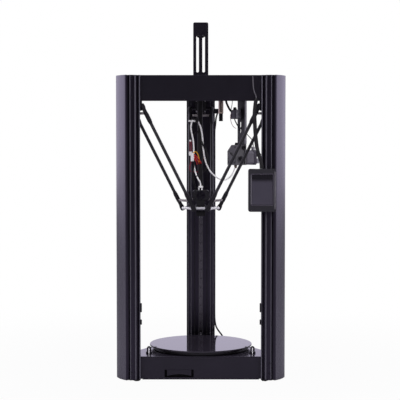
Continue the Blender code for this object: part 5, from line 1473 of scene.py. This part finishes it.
# latches on the front columns, a clip on the rear one, the mains inlet's rim and pins, the switch's rim
latch = {"x": (0.1945, 0.2005), "y": {"left": (0.0325, 0.0400), "right": (-0.0400, -0.0325)},
         "z": ((0.1750, 0.1980), (0.1433, 0.1563))}
leadClip = ((0.0300, 0.1880, 0.6830), (0.0507, 0.1979, 0.6965))
mains = {"inlet": ((0.1285, 0.0105, 0.0205), (0.1300, 0.0355, 0.0435)),
         "inletHole": ((0.1270, 0.0128, 0.0228), (0.1320, 0.0332, 0.0412)),
         "pinX": (0.1285, 0.1299), "pinHalf": (0.0006, 0.0019),
         "pins": ((0.0180, 0.0300), (0.0280, 0.0300), (0.0230, 0.0350)),
         "switch": ((0.1258, 0.0462, 0.0196), (0.1272, 0.0638, 0.0444)),
         "switchHole": ((0.1240, 0.0481, 0.0219), (0.1290, 0.0619, 0.0421))}


def inletPins():
    wide, tall = mains["pinHalf"]
    near, far = mains["pinX"]
    return gather(*[block((near, y - wide, z - tall), (far, y + wide, z + tall)) for y, z in mains["pins"]])


latches = []
for name, y in latch["y"].items():
    for z in latch["z"]:
        latches.append(moved(block(*zip(latch["x"], y, z)), columnPlace(columnAngles[name])))
makePiece("lead_clip", block(*leadClip), "black_plastic", "frame", bevel=0.0020, segments=3,
          slot="dark_plastic", at=bedAxis)
makePiece("column_latches", gather(*latches), "black_plastic", "frame", bevel=0.0010, segments=3,
          slot="dark_plastic")
for name in ("inlet", "switch"):
    rim = carve(block(*mains[name]), block(*mains[name + "Hole"]), at=panel)
    dressPiece(name + "_rim", rim, "black_plastic", "frame", bevel=0.0004, slot="dark_plastic")
makePiece("inlet_pins", inletPins(), "silver_metal", "frame", bevel=0.0002, at=panel)
print("latches and mains parts")

# soft studio: white behind and at the sides, dimmer in front, a pale floor that keeps the shadow
studio = {"fill": 0.95, "front": 0.10, "side": 1.0, "sideEdges": (-0.30, 0.12), "behind": 0.40,
          "behindEdges": (0.72, 0.98), "lowEdges": (0.08, 0.15), "mirrorTint": (0.95, 0.89, 1.12),
          "floor": (0.195, 0.185, 0.222), "floorSize": 9.0, "fadeEdges": (0.3, 1.4),
          "fadeLevels": (0.96, 1.0)}
lamps = {
    "overhead": {"place": (0.0, -0.9, 2.6), "aim": (0, 0, 0.4), "size": (1.6, 1.2), "energy": 40.0},
    "frontPanel": {"place": (0.0, -3.0, 1.5), "aim": (0, 0, 0.45), "size": (1.8, 1.2), "energy": 28.0},
    "leftPanel": {"place": (-2.0, -1.2, 1.3), "aim": (0, 0, 0.5), "size": (0.9, 1.6), "energy": 16.0},
    "rightPanel": {"place": (2.0, -1.2, 1.3), "aim": (0, 0, 0.5), "size": (0.9, 1.6), "energy": 16.0},
}


def setWorld():
    make = Finish("studioAir", world=True)
    bpy.context.scene.world = make.block
    background = make.tree.nodes["Background"]
    towards = make.add("TexCoord", output="Generated")
    back = make.add("SeparateXYZ", inputs={0: towards}, output="Y")
    height = make.add("SeparateXYZ", inputs={0: towards}, output="Z")
    wrap = make.ease(back, studio["sideEdges"], (studio["front"], studio["side"]))
    behind = make.ease(back, studio["behindEdges"], (0.0, studio["behind"]))
    low = make.ease(height, studio["lowEdges"], (1.0, 0.0))
    wrap = wrap * (1 - behind * low)
    camera = make.add("LightPath", output="Is Camera Ray")
    gloss = make.add("LightPath", output="Is Glossy Ray")
    through = make.add("LightPath", output="Is Transmission Ray")
    reflected = gloss.calc("MAXIMUM", gloss, through)
    level = studio["fill"] * (1 - reflected) + wrap * reflected
    tint = make.blendColour(reflected, (1.0, 1.0, 1.0), studio["mirrorTint"])
    feed(make.tree, background.inputs["Color"], tint)
    feed(make.tree, background.inputs["Strength"], level * (1 - camera) + camera)


def addLamp(name, setup):
    lamp = bpy.data.lights.new(name, "AREA")
    lamp.shape = "RECTANGLE"
    lamp.size, lamp.size_y = setup["size"]
    lamp.energy = setup["energy"]
    item = bpy.data.objects.new(name, lamp)
    item.location = setup["place"]
    item.rotation_euler = (Vector(setup["aim"]) - Vector(setup["place"])).to_track_quat("-Z", "Y").to_euler()
    item.visible_camera = False
    item.visible_glossy = False
    bpy.context.scene.collection.objects.link(item)


def addFloor():
    make = Finish("paleFloor")
    half = studio["floorSize"]
    mesh = bpy.data.meshes.new("studio_floor")
    corners = [(-half, -half, 0), (half, -half, 0), (half, half, 0), (-half, half, 0)]
    mesh.from_pydata(corners, [], [[0, 1, 2, 3]])
    floor = bpy.data.objects.new("studio_floor", mesh)
    bpy.context.scene.collection.objects.link(floor)
    mesh.materials.append(make.block)
    away = make.add("VectorMath", {"operation": "LENGTH"}, {0: make.spot()}, output="Value")
    fade = make.ease(away, studio["fadeEdges"], studio["fadeLevels"])
    make.set(Base_Color=studio["floor"], Roughness=0.9, Specular_IOR_Level=0.0)
    glow = make.add("Emission", inputs={"Color": (1.0, 1.0, 1.0), "Strength": 1.0})
    seen = make.add("LightPath", output="Is Camera Ray")
    paint = Value(make.tree, make.shader.outputs[0])
    both = make.add("MixShader", inputs={0: seen * fade, 1: paint, 2: glow})
    make.tree.links.new(both.socket, make.tree.nodes["Material Output"].inputs["Surface"])
    floor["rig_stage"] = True


setWorld()
addFloor()
for name, setup in lamps.items():
    addLamp(name, setup)
bpy.context.scene.view_settings.view_transform = "Standard"
print("studio set")

low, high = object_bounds()
